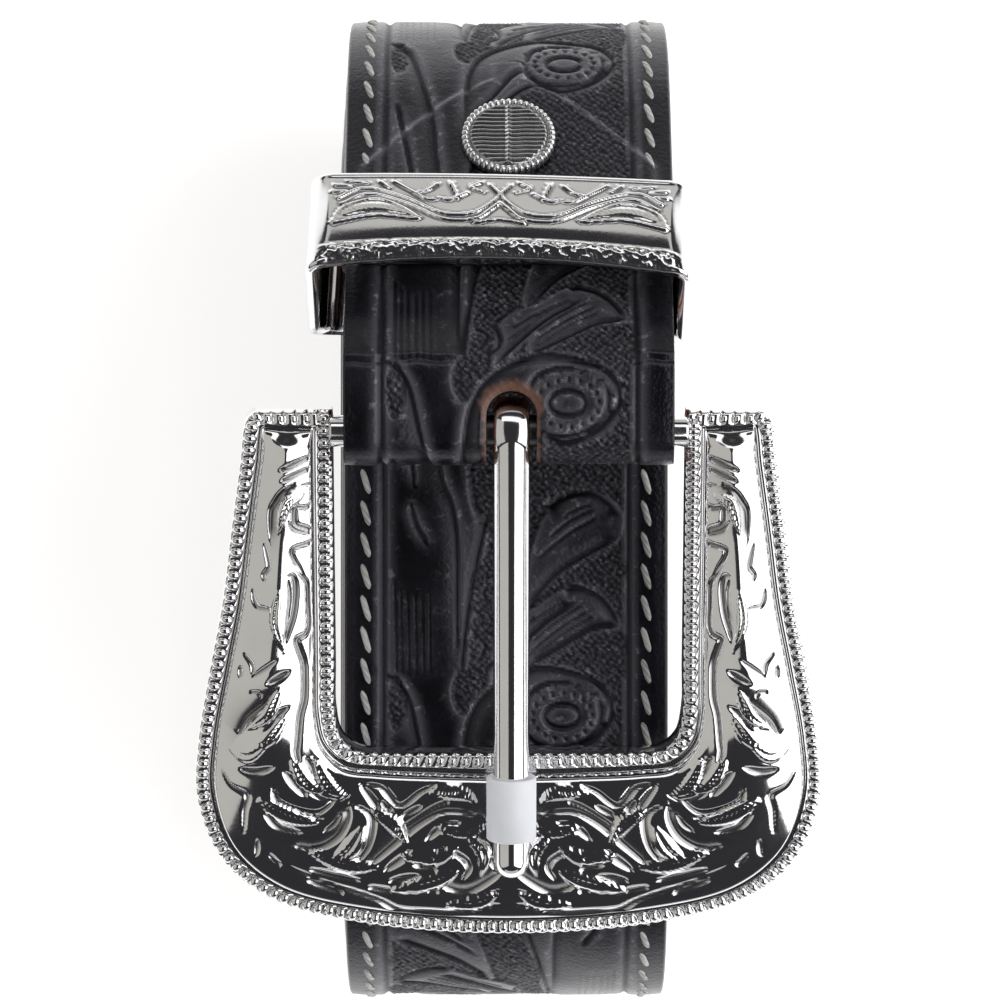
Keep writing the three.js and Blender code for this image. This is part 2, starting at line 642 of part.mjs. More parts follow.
// A raised rim round the plate and a crossed boss in its middle
function keeperRelief(top) {
  const half = keeperWidth / 2 - KEEPER_CORNER;
  const rims = [-1, 1].map((side) => {
    const rings = [-1, -0.6, -0.2, 0.2, 0.6, 1].map((share) => {
      const x = share * half;
      const low = top - KEEPER_WALL / 2;
      const high = top + KEEPER_CROWN * (1 - share * share) + KEEPER_RIM_RISE;
      const [near, far] = [side * (KEEPER_LENGTH / 2 - KEEPER_RIM), (side * KEEPER_LENGTH) / 2];
      return [[x, low, near], [x, high, near], [x, high, far], [x, low, far]];
    });
    return loft(rings);
  });
  const bosses = [-1, 1].map((side) => {
    const bar = new THREE.BoxGeometry(KEEPER_LENGTH * 0.62, 2 * KEEPER_RIM_RISE, KEEPER_RIM);
    bar.rotateY(side * quarter * 0.5).translate(0, top + KEEPER_CROWN, 0);
    return fromGeometry(bar);
  });
  return [...rims, ...bosses];
}

// Snap: a ribbed cap whose post goes through both layers, and a plain base under them
function snapCap() {
  const steps = 5;
  const dome = Array.from({ length: steps + 1 }, (_, i) => {
    const share = i / steps;
    const radius = i === steps ? 0 : SNAP_RADIUS * Math.cos(share * quarter) ** 0.7;
    return new THREE.Vector2(radius, LAYER_GAP + 0.6 + (SNAP_HEIGHT - 0.6) * Math.sin(share * quarter));
  });
  const postEnd = -strapThickness - LAYER_GAP - SNAP_BASE_THICKNESS;
  const profile = [
    new THREE.Vector2(0, postEnd),
    new THREE.Vector2(SNAP_POST_RADIUS, postEnd),
    new THREE.Vector2(SNAP_POST_RADIUS, LAYER_GAP),
    new THREE.Vector2(SNAP_RADIUS, LAYER_GAP),
    ...dome,
  ];
  return fromGeometry(new THREE.LatheGeometry(profile, ROUND_SIDES), standing(snapStation));
}

function snapBase() {
  const bore = SNAP_POST_RADIUS + LAYER_GAP;
  const [low, high] = [-strapThickness - LAYER_GAP - SNAP_BASE_THICKNESS, -strapThickness - LAYER_GAP];
  const outline = [[bore, low], [SNAP_BASE_RADIUS, low], [SNAP_BASE_RADIUS, high], [bore, high], [bore, low]];
  const lathe = new THREE.LatheGeometry(outline.map(([r, y]) => new THREE.Vector2(r, y)), ROUND_SIDES);
  return fromGeometry(lathe, standing(snapStation));
}

// Scene graph
const leather = new THREE.MeshStandardMaterial({ color: 0x1c1c20, roughness: 0.45 });
const liningLeather = new THREE.MeshStandardMaterial({ color: 0x3a2226, roughness: 0.7 });
const chrome = new THREE.MeshStandardMaterial({ color: 0xd8dade, roughness: 0.12, metalness: 1 });
const milkyPlastic = new THREE.MeshStandardMaterial({ color: 0xd6d8dc, roughness: 0.35 });

function named(name, body, material) {
  const { vertProperties, triVerts } = body.getMesh();
  const geometry = new THREE.BufferGeometry();
  geometry.setAttribute("position", new THREE.BufferAttribute(vertProperties, 3));
  geometry.setIndex(new THREE.BufferAttribute(triVerts, 1));
  geometry.computeVertexNormals();
  const mesh = new THREE.Mesh(geometry, material);
  mesh.name = name;
  return mesh;
}

function placed(matrix, ...meshes) {
  const group = new THREE.Group();
  matrix.decompose(group.position, group.quaternion, group.scale);
  group.add(...meshes);
  return group;
}

const strap = new THREE.Group();
strap.add(named("strap_face", faceSolid, leather));
strap.add(named("strap_lining", liningSolid, liningLeather));

const prongGroup = placed(
  prongPlace,
  named("prong", prongSolid(), chrome),
  named("prong_sleeve", sleeveSolid(), milkyPlastic),
);
const buckle = placed(framePlace, named("buckle_frame", buckleFrame(), chrome), prongGroup);
const keeper = placed(standing(keeperStation, keeperX), named("keeper", keeperSolid(), chrome));

const snap = new THREE.Group();
snap.add(named("snap_cap", snapCap(), chrome), named("snap_base", snapBase(), chrome));

const belt = new THREE.Group();
belt.add(strap, buckle, keeper, snap);

export default belt;
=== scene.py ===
import json
import logging
import math
from collections.abc import Iterator
from contextlib import contextmanager
from dataclasses import dataclass, field
from enum import Enum

import bmesh
import bpy
import numpy as np
from bpy.types import Material, Node, NodeSocket, NodeTree, Object
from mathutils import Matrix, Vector


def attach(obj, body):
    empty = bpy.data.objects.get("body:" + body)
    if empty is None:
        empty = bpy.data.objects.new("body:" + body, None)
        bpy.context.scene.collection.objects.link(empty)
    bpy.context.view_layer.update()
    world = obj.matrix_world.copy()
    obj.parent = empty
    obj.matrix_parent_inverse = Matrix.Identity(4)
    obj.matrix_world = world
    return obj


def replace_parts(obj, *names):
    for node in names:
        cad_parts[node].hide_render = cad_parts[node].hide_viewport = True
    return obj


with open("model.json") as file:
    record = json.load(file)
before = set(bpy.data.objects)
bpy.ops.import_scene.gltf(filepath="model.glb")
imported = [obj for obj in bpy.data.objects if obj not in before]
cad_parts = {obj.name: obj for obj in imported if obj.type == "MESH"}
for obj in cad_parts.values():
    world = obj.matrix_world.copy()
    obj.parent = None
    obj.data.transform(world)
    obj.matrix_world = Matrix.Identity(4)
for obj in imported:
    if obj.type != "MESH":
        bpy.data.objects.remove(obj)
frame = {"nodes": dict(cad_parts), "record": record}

logging.basicConfig(level=logging.INFO, format="%(message)s")
LOG = logging.getLogger("belt")

Array = np.ndarray
MM = 0.001
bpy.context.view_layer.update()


class Slot(Enum):
    """The record's material slots."""

    LEATHER = "tooled_leather"
    LINING = "lining_leather"
    METAL = "bright_metal"
    SLEEVE = "clear_sleeve"
    THREAD = "stitch_thread"


class Body(Enum):
    """The bodies that pieces ride on."""

    STRAP = "strap"
    BUCKLE = "buckle"
    PRONG = "prong"
    KEEPER = "keeper"


def smooth(low: float, high: float, value: Array) -> Array:
    """Eased step from 0 at low to 1 at high."""
    share = np.clip((value - low) / (high - low), 0.0, 1.0)
    return share * share * (3.0 - 2.0 * share)


def ripple(across: Array, along: Array, size: float, seed: float = 0.0) -> Array:
    """Soft irregular waves of about a size, the same each run.

    Args:
        across: First coordinate, millimetres.
        along: Second coordinate, millimetres.
        size: Length of a wave, millimetres.
        seed: Shifts the pattern.

    Returns:
        Values from -1 to 1.
    """
    a, b = across * (2 * math.pi / size), along * (2 * math.pi / size)
    first = np.sin(a + 1.7 * np.sin(0.61 * b + seed) + seed)
    second = np.sin(0.87 * b + 1.3 * np.sin(0.73 * a - seed) + 2.1 * seed)
    return 0.5 * (first + second) * np.cos(0.31 * (a - b) + seed)


def curve(points: list[tuple[float, float]], steps: int = 6) -> Array:
    """Smooth line through given points.

    Args:
        points: Places that the line goes through.
        steps: Pieces between two neighbouring points.

    Returns:
        Points along the line, one row each.
    """
    given = np.array(points, dtype=float)
    if len(given) < 3:
        return given
    padded = np.vstack([2 * given[0] - given[1], given, 2 * given[-1] - given[-2]])
    found = []
    for i in range(1, len(padded) - 2):
        p0, p1, p2, p3 = padded[i - 1 : i + 3]
        for t in np.linspace(0.0, 1.0, steps, endpoint=False):
            found.append(
                0.5 * (2 * p1 + (p2 - p0) * t + (2 * p0 - 5 * p1 + 4 * p2 - p3) * t**2
                       + (3 * p1 - p0 - 3 * p2 + p3) * t**3)
            )
    return np.array([*found, given[-1]])


def line_distance(line: Array, x: Array,
                  y: Array) -> tuple[Array, Array, Array]:
    """Distance from places to a line.

    Args:
        line: Points along the line, one row each.
        x: First coordinates of the places.
        y: Second coordinates of the places.

    Returns:
        Distance, side (1 left of the line's way, -1 right), and share of the line passed.
    """
    best = np.full(x.shape, 1e9)
    side = np.ones(x.shape)
    passed = np.zeros(x.shape)
    count = len(line) - 1
    for i in range(count):
        (ax, ay), (bx, by) = line[i], line[i + 1]
        dx, dy = bx - ax, by - ay
        length = max(dx * dx + dy * dy, 1e-12)
        share = np.clip(((x - ax) * dx + (y - ay) * dy) / length, 0.0, 1.0)
        ox, oy = x - ax - share * dx, y - ay - share * dy
        distance = np.hypot(ox, oy)
        nearer = distance < best
        best = np.where(nearer, distance, best)
        side = np.where(nearer, np.sign(dx * oy - dy * ox), side)
        passed = np.where(nearer, (i + share) / count, passed)
    return best, side, passed


@dataclass
class Relief:
    """Height of a carved surface over a flat pattern, built up cut by cut."""

    x: Array
    y: Array
    height: Array = field(init=False)
    stipple: Array = field(init=False)

    def __post_init__(self) -> None:
        """Starts level and plain."""
        self.height = np.zeros(self.x.shape)
        self.stipple = np.zeros(self.x.shape)

    def near(self, line: Array, reach: float) -> Array:
        """Mask of the places within reach of a line's box."""
        low, high = line.min(axis=0) - reach, line.max(axis=0) + reach
        return (self.x > low[0]) & (self.x < high[0]) & (self.y > low[1]) & (self.y < high[1])

    def cut(self, line: Array, depth: float, width: float, bevel: float = 0.0, slope: float = 1.0,
            pointed: float = 0.0) -> None:
        """Cuts a groove, with the ground pressed down on one side of it.

        Args:
            line: Points along the groove.
            depth: Its depth.
            width: Half width of the groove.
            bevel: 1 presses the left side, -1 the right, 0 neither.
            slope: How far the pressed ground reaches.
            pointed: Share of the width lost towards both ends.
        """
        mask = self.near(line, 3 * width + (4 * slope if bevel else 0.0))
        if not mask.any():
            return
        distance, side, passed = line_distance(line, self.x[mask], self.y[mask])
        ends = np.clip(np.minimum(passed, 1 - passed) * 8 + 0.25, 0.0, 1.0)
        half = width * (1.0 - pointed * (1.0 - np.sin(math.pi * np.clip(passed, 0.04, 0.96)) ** 0.8))
        drop = np.exp(-((distance / half) ** 2))
        if bevel:
            pressed = np.exp(-distance / slope) * 0.8
            drop = np.maximum(drop, np.where(side * bevel > 0, pressed, 0.0))
        self.height[mask] = np.minimum(self.height[mask], -depth * ends * drop)

    def raise_line(self, line: Array, height: float, width: float, taper: float = 0.7) -> None:
        """Raises a rounded ridge that thins towards its far end.

        Args:
            line: Points along the ridge.
            height: Its height.
            width: Its half width where it starts.
            taper: Share of the width lost by its end.
        """
        mask = self.near(line, 2 * width)
        if not mask.any():
            return
        distance, _, passed = line_distance(line, self.x[mask], self.y[mask])
        half = width * (1 - taper * passed)
        rise = np.sqrt(np.clip(1 - (distance / half) ** 2, 0.0, 1.0)) * height
        self.height[mask] = np.where(rise > 0, np.maximum(self.height[mask], rise), self.height[mask])

    def leaf(self, line: Array, height: float, width: float, vein: float = 0.5) -> None:
        """Raises a pointed leaf with a vein cut along its middle.

        Args:
            line: Points along its middle, from its root to its point.
            height: Its height.
            width: Its greatest half width.
            vein: Depth of the vein as a share of the height.
        """
        mask = self.near(line, 1.5 * width)
        if not mask.any():
            return
        distance, _, passed = line_distance(line, self.x[mask], self.y[mask])
        half = width * np.clip(np.sin(math.pi * (0.12 + 0.88 * passed)), 0.02, 1.0)
        inside = np.clip(1 - (distance / half) ** 2, 0.0, 1.0)
        length = float(np.linalg.norm(np.diff(line, axis=0), axis=1).sum())
        barbs = 0.5 - 0.5 * np.cos(2 * math.pi * (passed * length - 1.4 * distance) / 0.62)
        groove = np.exp(-((distance / (0.22 * width)) ** 2))
        rise = np.sqrt(inside) * height * (1 - 0.32 * barbs) - vein * height * groove
        self.height[mask] = np.where(inside > 0, np.maximum(self.height[mask], rise), self.height[mask])

    def dot(self, centre: tuple[float, float], radius: float, depth: float) -> None:
        """Presses a round pit with a small raised lip."""
        gap = np.hypot(self.x - centre[0], self.y - centre[1]) / radius
        pit = -depth * np.exp(-(gap**2) * 1.8) + 0.25 * depth * np.exp(-((gap - 1.3) ** 2) * 7)
        self.height = np.where(gap < 2.2, self.height + pit, self.height)

    def ground(self, mask: Array, depth: float, grain: float) -> None:
        """Presses a stippled ground into an area.

        Args:
            mask: How much of the ground shows at each place, 0 to 1.
            depth: How deep it is pressed.
            grain: Spacing of the stipple.
        """
        turn = 2 * math.pi / grain
        warp = 0.9 * np.sin(0.37 * turn * self.x + 1.1) * np.sin(0.31 * turn * self.y)
        pits = np.cos(turn * self.x + warp + 0.8 * np.sin(0.45 * turn * self.y))
        pits = pits * np.cos(turn * self.y - warp + 0.7 * np.sin(0.52 * turn * self.x))
        self.height = self.height - mask * depth * (0.75 - 0.45 * pits)
        self.stipple = np.maximum(self.stipple, mask)


def new_mesh(name: str, points: Array, faces: Array, body: Body) -> Object:
    """Makes a smooth-shaded object from points in millimetres.

    Args:
        name: The object's name.
        points: One row for each vertex, millimetres.
        faces: One row of vertex numbers for each four-sided face.
        body: Body that it rides on.

    Returns:
        The new object.
    """
    mesh = bpy.data.meshes.new(name)
    mesh.vertices.add(len(points))
    mesh.vertices.foreach_set("co", (points * MM).astype(np.float32).ravel())
    mesh.loops.add(faces.size)
    mesh.loops.foreach_set("vertex_index", faces.astype(np.int32).ravel())
    mesh.polygons.add(len(faces))
    mesh.polygons.foreach_set("loop_start", np.arange(0, faces.size, 4, dtype=np.int32))
    mesh.polygons.foreach_set("use_smooth", np.ones(len(faces), dtype=bool))
    mesh.update(calc_edges=True)
    mesh.validate()
    piece = bpy.data.objects.new(name, mesh)
    bpy.context.scene.collection.objects.link(piece)
    return settle(piece, body)


def settle(piece: Object, body: Body) -> Object:
    """Gives a piece its body, and reports it."""
    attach(piece, body.value)
    LOG.info("piece %s: %d faces on %s", piece.name, len(piece.data.polygons), body.value)
    return piece


@contextmanager
def reshaping(piece: Object, outwards: bool = True) -> Iterator[bmesh.types.BMesh]:
    """Lends a piece's mesh for changes, then puts it back.

    Args:
        piece: The piece.
        outwards: Whether its faces are turned outwards at the end.

    Yields:
        The mesh to change.
    """
    work = bmesh.new()
    work.from_mesh(piece.data)
    work.verts.ensure_lookup_table()
    yield work
    if outwards:
        bmesh.ops.recalc_face_normals(work, faces=work.faces)
    work.to_mesh(piece.data)
    work.free()


def fix_normals(piece: Object) -> None:
    """Turns the faces of a closed piece outwards."""
    with reshaping(piece):
        pass


def travelled(points: Array) -> Array:
    """Distance passed at each point of a line."""
    return np.concatenate([[0.0], np.cumsum(np.linalg.norm(np.diff(points, axis=0), axis=1))])


def paint(piece: Object, name: str, values: Array) -> None:
    """Stores a value for each vertex as an attribute that a material reads."""
    layer = piece.data.attributes.new(name, "FLOAT", "POINT")
    layer.data.foreach_set("value", values.astype(np.float32).ravel())


def paint_uv(piece: Object, u: Array, v: Array) -> None:
    """Stores a UV map in centimetres, from one value for each vertex."""
    layer = piece.data.uv_layers.new(name="surface")
    corners = np.zeros(len(piece.data.loops), dtype=np.int32)
    piece.data.loops.foreach_get("vertex_index", corners)
    flat = np.column_stack([u.ravel()[corners], v.ravel()[corners]]) * 0.1
    layer.data.foreach_set("uv", flat.astype(np.float32).ravel())


def grid_faces(rows: int, columns: int, closed: bool = False) -> Array:
    """Four-sided faces of a grid of vertices.

    Args:
        rows: Rows of vertices.
        columns: Vertices in a row.
        closed: Whether each row closes on itself.

    Returns:
        One row of four vertex numbers for each face.
    """
    wide = columns if closed else columns - 1
    i, j = np.meshgrid(np.arange(rows - 1), np.arange(wide), indexing="ij")
    a, b = i * columns + j, i * columns + (j + 1) % columns
    return np.stack([a, b, b + columns, a + columns], axis=-1).reshape(-1, 4)


@dataclass(frozen=True)
class StrapSizes:
    """The strap's sizes and its course, millimetres and degrees, as the solids have them."""

    width: float = 38.0
    face: float = 1.8
    lining: float = 1.5
    gap: float = 0.3
    tip_length: float = 22.0
    tip_blunt: float = 7.0
    flat: float = 68.0
    radius: float = 26.5
    pitch: float = 4.6
    drift: float = 0.35
    whole_turns: int = 3
    tip_reach: float = 57.0
    ridge_angle: float = 55.0
    crease_y: float = 17.0
    crease_radius: float = 5.0
    fold_angle: float = 93.0
    bar_y: float = 8.9
    bar_inner: float = 2.1
    tab_bend: float = 6.0
    tab_half: float = 16.9
    tab_point: float = 14.0
    tab_power: float = 0.7
    tab_angle: float = 45.7
    lining_reach: float = 24.0
    slot_width: float = 5.7
    slot_reach: float = 4.5
    slot_x: float = 0.3


class StrapCourse:
    """Where the strap's layers run, from the free end inside the roll to the buckle and back."""

    def __init__(self, sizes: StrapSizes) -> None:
        """Works out the fixed places.

        Args:
            sizes: The strap's sizes.
        """
        self.s = sizes
        self.centre_z = self.reach(-90)
        self.centre_y = (self.reach(-180) - self.reach(0)) / 2
        self.slope = sizes.pitch / (2 * math.pi)
        self.leave = self.roll(sizes.ridge_angle, 0.0, 1)
        angle = math.radians(sizes.ridge_angle)
        self.normal = (math.cos(angle), math.sin(angle))
        self.way = (-self.normal[1], self.normal[0])
        self.crease_along = (sizes.crease_y - self.leave[0]) / self.way[0]
        crease = self.ridge(self.crease_along, 0.0)
        fold = math.radians(sizes.fold_angle)
        self.fold_reach = math.cos(fold) * crease[0] + math.sin(fold) * crease[1]
        self.crease_reach = self.normal[0] * crease[0] + self.normal[1] * crease[1]
        outer = sizes.bar_inner + sizes.face
        self.bar_z = (self.fold_reach - outer - math.cos(fold) * sizes.bar_y) / math.sin(fold)
        self.tab_tip = math.radians(sizes.tab_angle - sizes.ridge_angle) * self.reach(sizes.ridge_angle)

    def reach(self, angle: float) -> float:
        """Distance of a turn's outer surface from the roll's axis, towards an angle."""
        return self.s.radius + self.s.pitch * angle / 360

    def roll(self, angle: float, depth: float, side: int) -> tuple[float, float, float, float]:
        """Station on the roll: y, z, normal angle and drift across."""
        a = math.radians(angle)
        reach = self.reach(angle) - depth
        y = math.cos(a) * reach - math.sin(a) * self.slope + side * self.s.flat / 2 + self.centre_y
        z = math.sin(a) * reach + math.cos(a) * self.slope + self.centre_z
        return y, z, angle, self.s.drift * min(0.0, angle - self.s.ridge_angle) / 360

    def ridge(self, along: float, depth: float) -> tuple[float, float, float, float]:
        """Station up the ridge from where it leaves the roll."""
        y = self.leave[0] + self.way[0] * along - self.normal[0] * depth
        z = self.leave[1] + self.way[1] * along - self.normal[1] * depth
        return y, z, self.s.ridge_angle, 0.0

    def along(self, along: float, depth: float) -> tuple[float, float, float, float]:
        """Station by its distance along the outer surface, on the ridge or the roll's end."""
        if along >= 0:
            return self.ridge(along, depth)
        return self.roll(self.s.ridge_angle + math.degrees(along / self.reach(self.s.ridge_angle)), depth, 1)

    def roll_stations(self, depth: float, step: float) -> list[tuple[float, float, float, float]]:
        """Stations from the free end to where the strap leaves the roll.

        Args:
            depth: Depth under the outer surface.
            step: Degrees between stations on the round ends.

        Returns:
            The stations in order.
        """
        tip = -90 - 360 * self.s.whole_turns
        first = self.roll(tip, depth, 1)
        found = [(first[0] - self.s.tip_reach, *first[1:]), first]
        angle = float(tip)
        while angle < self.s.ridge_angle - 1e-6:
            side = 1 if math.cos(math.radians(angle + step / 2)) > 0 else -1
            found.append(self.roll(angle, depth, side))
            following = min(angle + step, (math.floor(angle / 90 + 1e-6) + 1) * 90, self.s.ridge_angle)
            found.append(self.roll(following, depth, side))
            angle = following
        return found

    @staticmethod
    def bend_centre(one: float, reach_one: float, two: float, reach_two: float,
                    radius: float) -> tuple[float, float]:
        """Centre of the arc that joins two straight runs, each given by normal angle and reach."""
        a, b = math.radians(one), math.radians(two)
        p, q = reach_one - radius, reach_two - radius
        spread = math.sin(b - a)
        y = (p * math.sin(b) - q * math.sin(a)) / spread
        return y, (q * math.cos(a) - p * math.cos(b)) / spread

    @staticmethod
    def bend(centre: tuple[float, float], radius: float, one: float, two: float) -> list[tuple[float, ...]]:
        """Stations round an arc; a negative radius bends back."""
        found = []
        for angle in np.linspace(one, two, max(3, int(abs(two - one) / 3))):
            a = math.radians(angle)
            found.append((centre[0] + radius * math.cos(a), centre[1] + radius * math.sin(a), angle, 0.0))
        return found

    def face_table(self) -> Array:
        """The face leather's middle surface, from the free end to the point of the tab.

        Returns:
            Rows of distance along the outer surface from the crease, y, z, angle, drift, thickness.
        """
        s, half = self.s, self.s.face / 2
        rows = self.roll_stations(half, 3.0)
        centre = self.bend_centre(s.ridge_angle, self.crease_reach, s.fold_angle, self.fold_reach,
                                  s.crease_radius)
        rows += self.bend(centre, s.crease_radius - half, s.ridge_angle, s.fold_angle)
        rows += self.bend((s.bar_y, self.bar_z), s.bar_inner + half, s.fold_angle, 270)
        depth = s.face + s.gap + s.lining / 2
        level = -(self.bar_z - s.bar_inner - half)
        start = self.ridge(0.0, depth)
        reach = -(self.normal[0] * start[0] + self.normal[1] * start[1])
        back = 180 + s.ridge_angle
        rows += self.bend(self.bend_centre(270, level, back, reach, -s.tab_bend), -s.tab_bend, 270, back)
        skived = len(rows)
        tab_top = s.lining_reach + 1
        for along in np.linspace(tab_top, self.tab_tip, 40):
            y, z, angle, _ = self.along(along, depth)
            rows.append((y, z, angle + 180, 0.0))
        thickness = np.where(np.arange(len(rows)) < skived, s.face, s.lining)
        return self.measured(rows, thickness, self.crease_place())

    def lining_table(self) -> Array:
        """The lining's middle surface, as rows like the face's."""
        s = self.s
        depth = s.face + s.gap + s.lining / 2
        rows = self.roll_stations(depth, 3.0)
        rows += [self.ridge(along, depth) for along in np.linspace(0.5, s.lining_reach, 12)]
        return self.measured(rows, np.full(len(rows), s.lining), None)

    def crease_place(self) -> tuple[float, float]:
        """The crease's place on the outer surface."""
        return self.ridge(self.crease_along, 0.0)[:2]

    def measured(self, rows: list, thickness: Array, origin: tuple[float, float] | None) -> Array:
        """Adds the distance along the outer surface, counted from the crease.

        Args:
            rows: Stations of y, z, angle and drift.
            thickness: The leather's thickness at each.
            origin: Place of the crease, or None to count from the last row.

        Returns:
            Rows of distance, y, z, angle, drift and thickness.
        """
        table = np.array([row[:4] for row in rows])
        a = np.radians(table[:, 2])
        outer = table[:, :2] + np.column_stack([np.cos(a), np.sin(a)]) * thickness[:, None] / 2
        steps = np.hypot(*np.diff(outer, axis=0).T)
        keep = np.concatenate([[True], steps > 1e-5])
        t = np.concatenate([[0.0], np.cumsum(steps)])
        if origin is None:
            t -= t[-1]
        else:
            t -= t[np.argmin(np.hypot(outer[:, 0] - origin[0], outer[:, 1] - origin[1]))]
        return np.column_stack([t, table, thickness])[keep]

    def tab_half(self, from_point: Array) -> Array:
        """Half width of the tab, by distance from its point."""
        share = np.clip(from_point / self.s.tab_point, 0.04, 1.0)
        return self.s.tab_half * share**self.s.tab_power


COURSE = StrapCourse(StrapSizes())


@dataclass(frozen=True)
class Stroke:
    """One cut of the ornament: its depth, half width, the side it presses down, and its points."""

    depth: float
    width: float
    bevel: float
    points: tuple[tuple[float, float], ...]


def strokes(depth: float, width: float, bevel: float, *lines: list[tuple[float, float]]) -> list[Stroke]:
    """Strokes that are cut alike."""
    return [Stroke(depth, width, bevel, tuple(line)) for line in lines]


# Stippled grounds as ellipses: centre across and along, and half sizes.
GROUNDS = (
    (10.6, 13.5, 3.4, 4.4), (4.0, 18.5, 6.5, 6.6), (10.6, 22.4, 3.6, 4.9), (0.6, 32.5, 3.0, 6.6),
    (10.4, 36.6, 3.6, 2.9), (-2.2, 24.0, 2.3, 8.0), (12.2, 46.8, 2.0, 4.4), (8.0, 47.4, 3.4, 1.6),
    (-12.8, 3.4, 1.1, 3.2), (-2.6, 40.0, 1.5, 4.5), (-4.6, 2.0, 1.8, 2.8),
)


# Outlines of the flower's leaves and petals, which the stippled ground goes round.
FLOWER_LEAVES = (
    [(1.8, 41.2), (3.4, 34.0), (5.6, 29.6), (10.2, 28.0), (13.2, 30.0), (12.9, 33.0), (8.9, 35.2),
    (5.5, 37.5), (1.8, 41.2)], [(2.3, 48.2), (2.6, 43.0), (7.1, 39.0), (10.2, 39.5), (13.1, 43.2),
    (10.0, 43.7), (7.1, 45.3), (2.3, 48.2)], [(-4.6, 16.0), (-4.8, 7.0), (-3.0, 2.8), (1.0, 0.2),
    (3.7, -0.8), (8.4, 0.0), (12.4, 4.0), (10.1, 7.9), (6.4, 9.4), (3.2, 8.6), (-1.5, 13.0), (-4.6, 16.0)],
    [(-1.8, 49.6), (-0.6, 44.0), (3.0, 41.6), (8.2, 40.2), (4.4, 43.4), (-1.8, 49.6)],
)


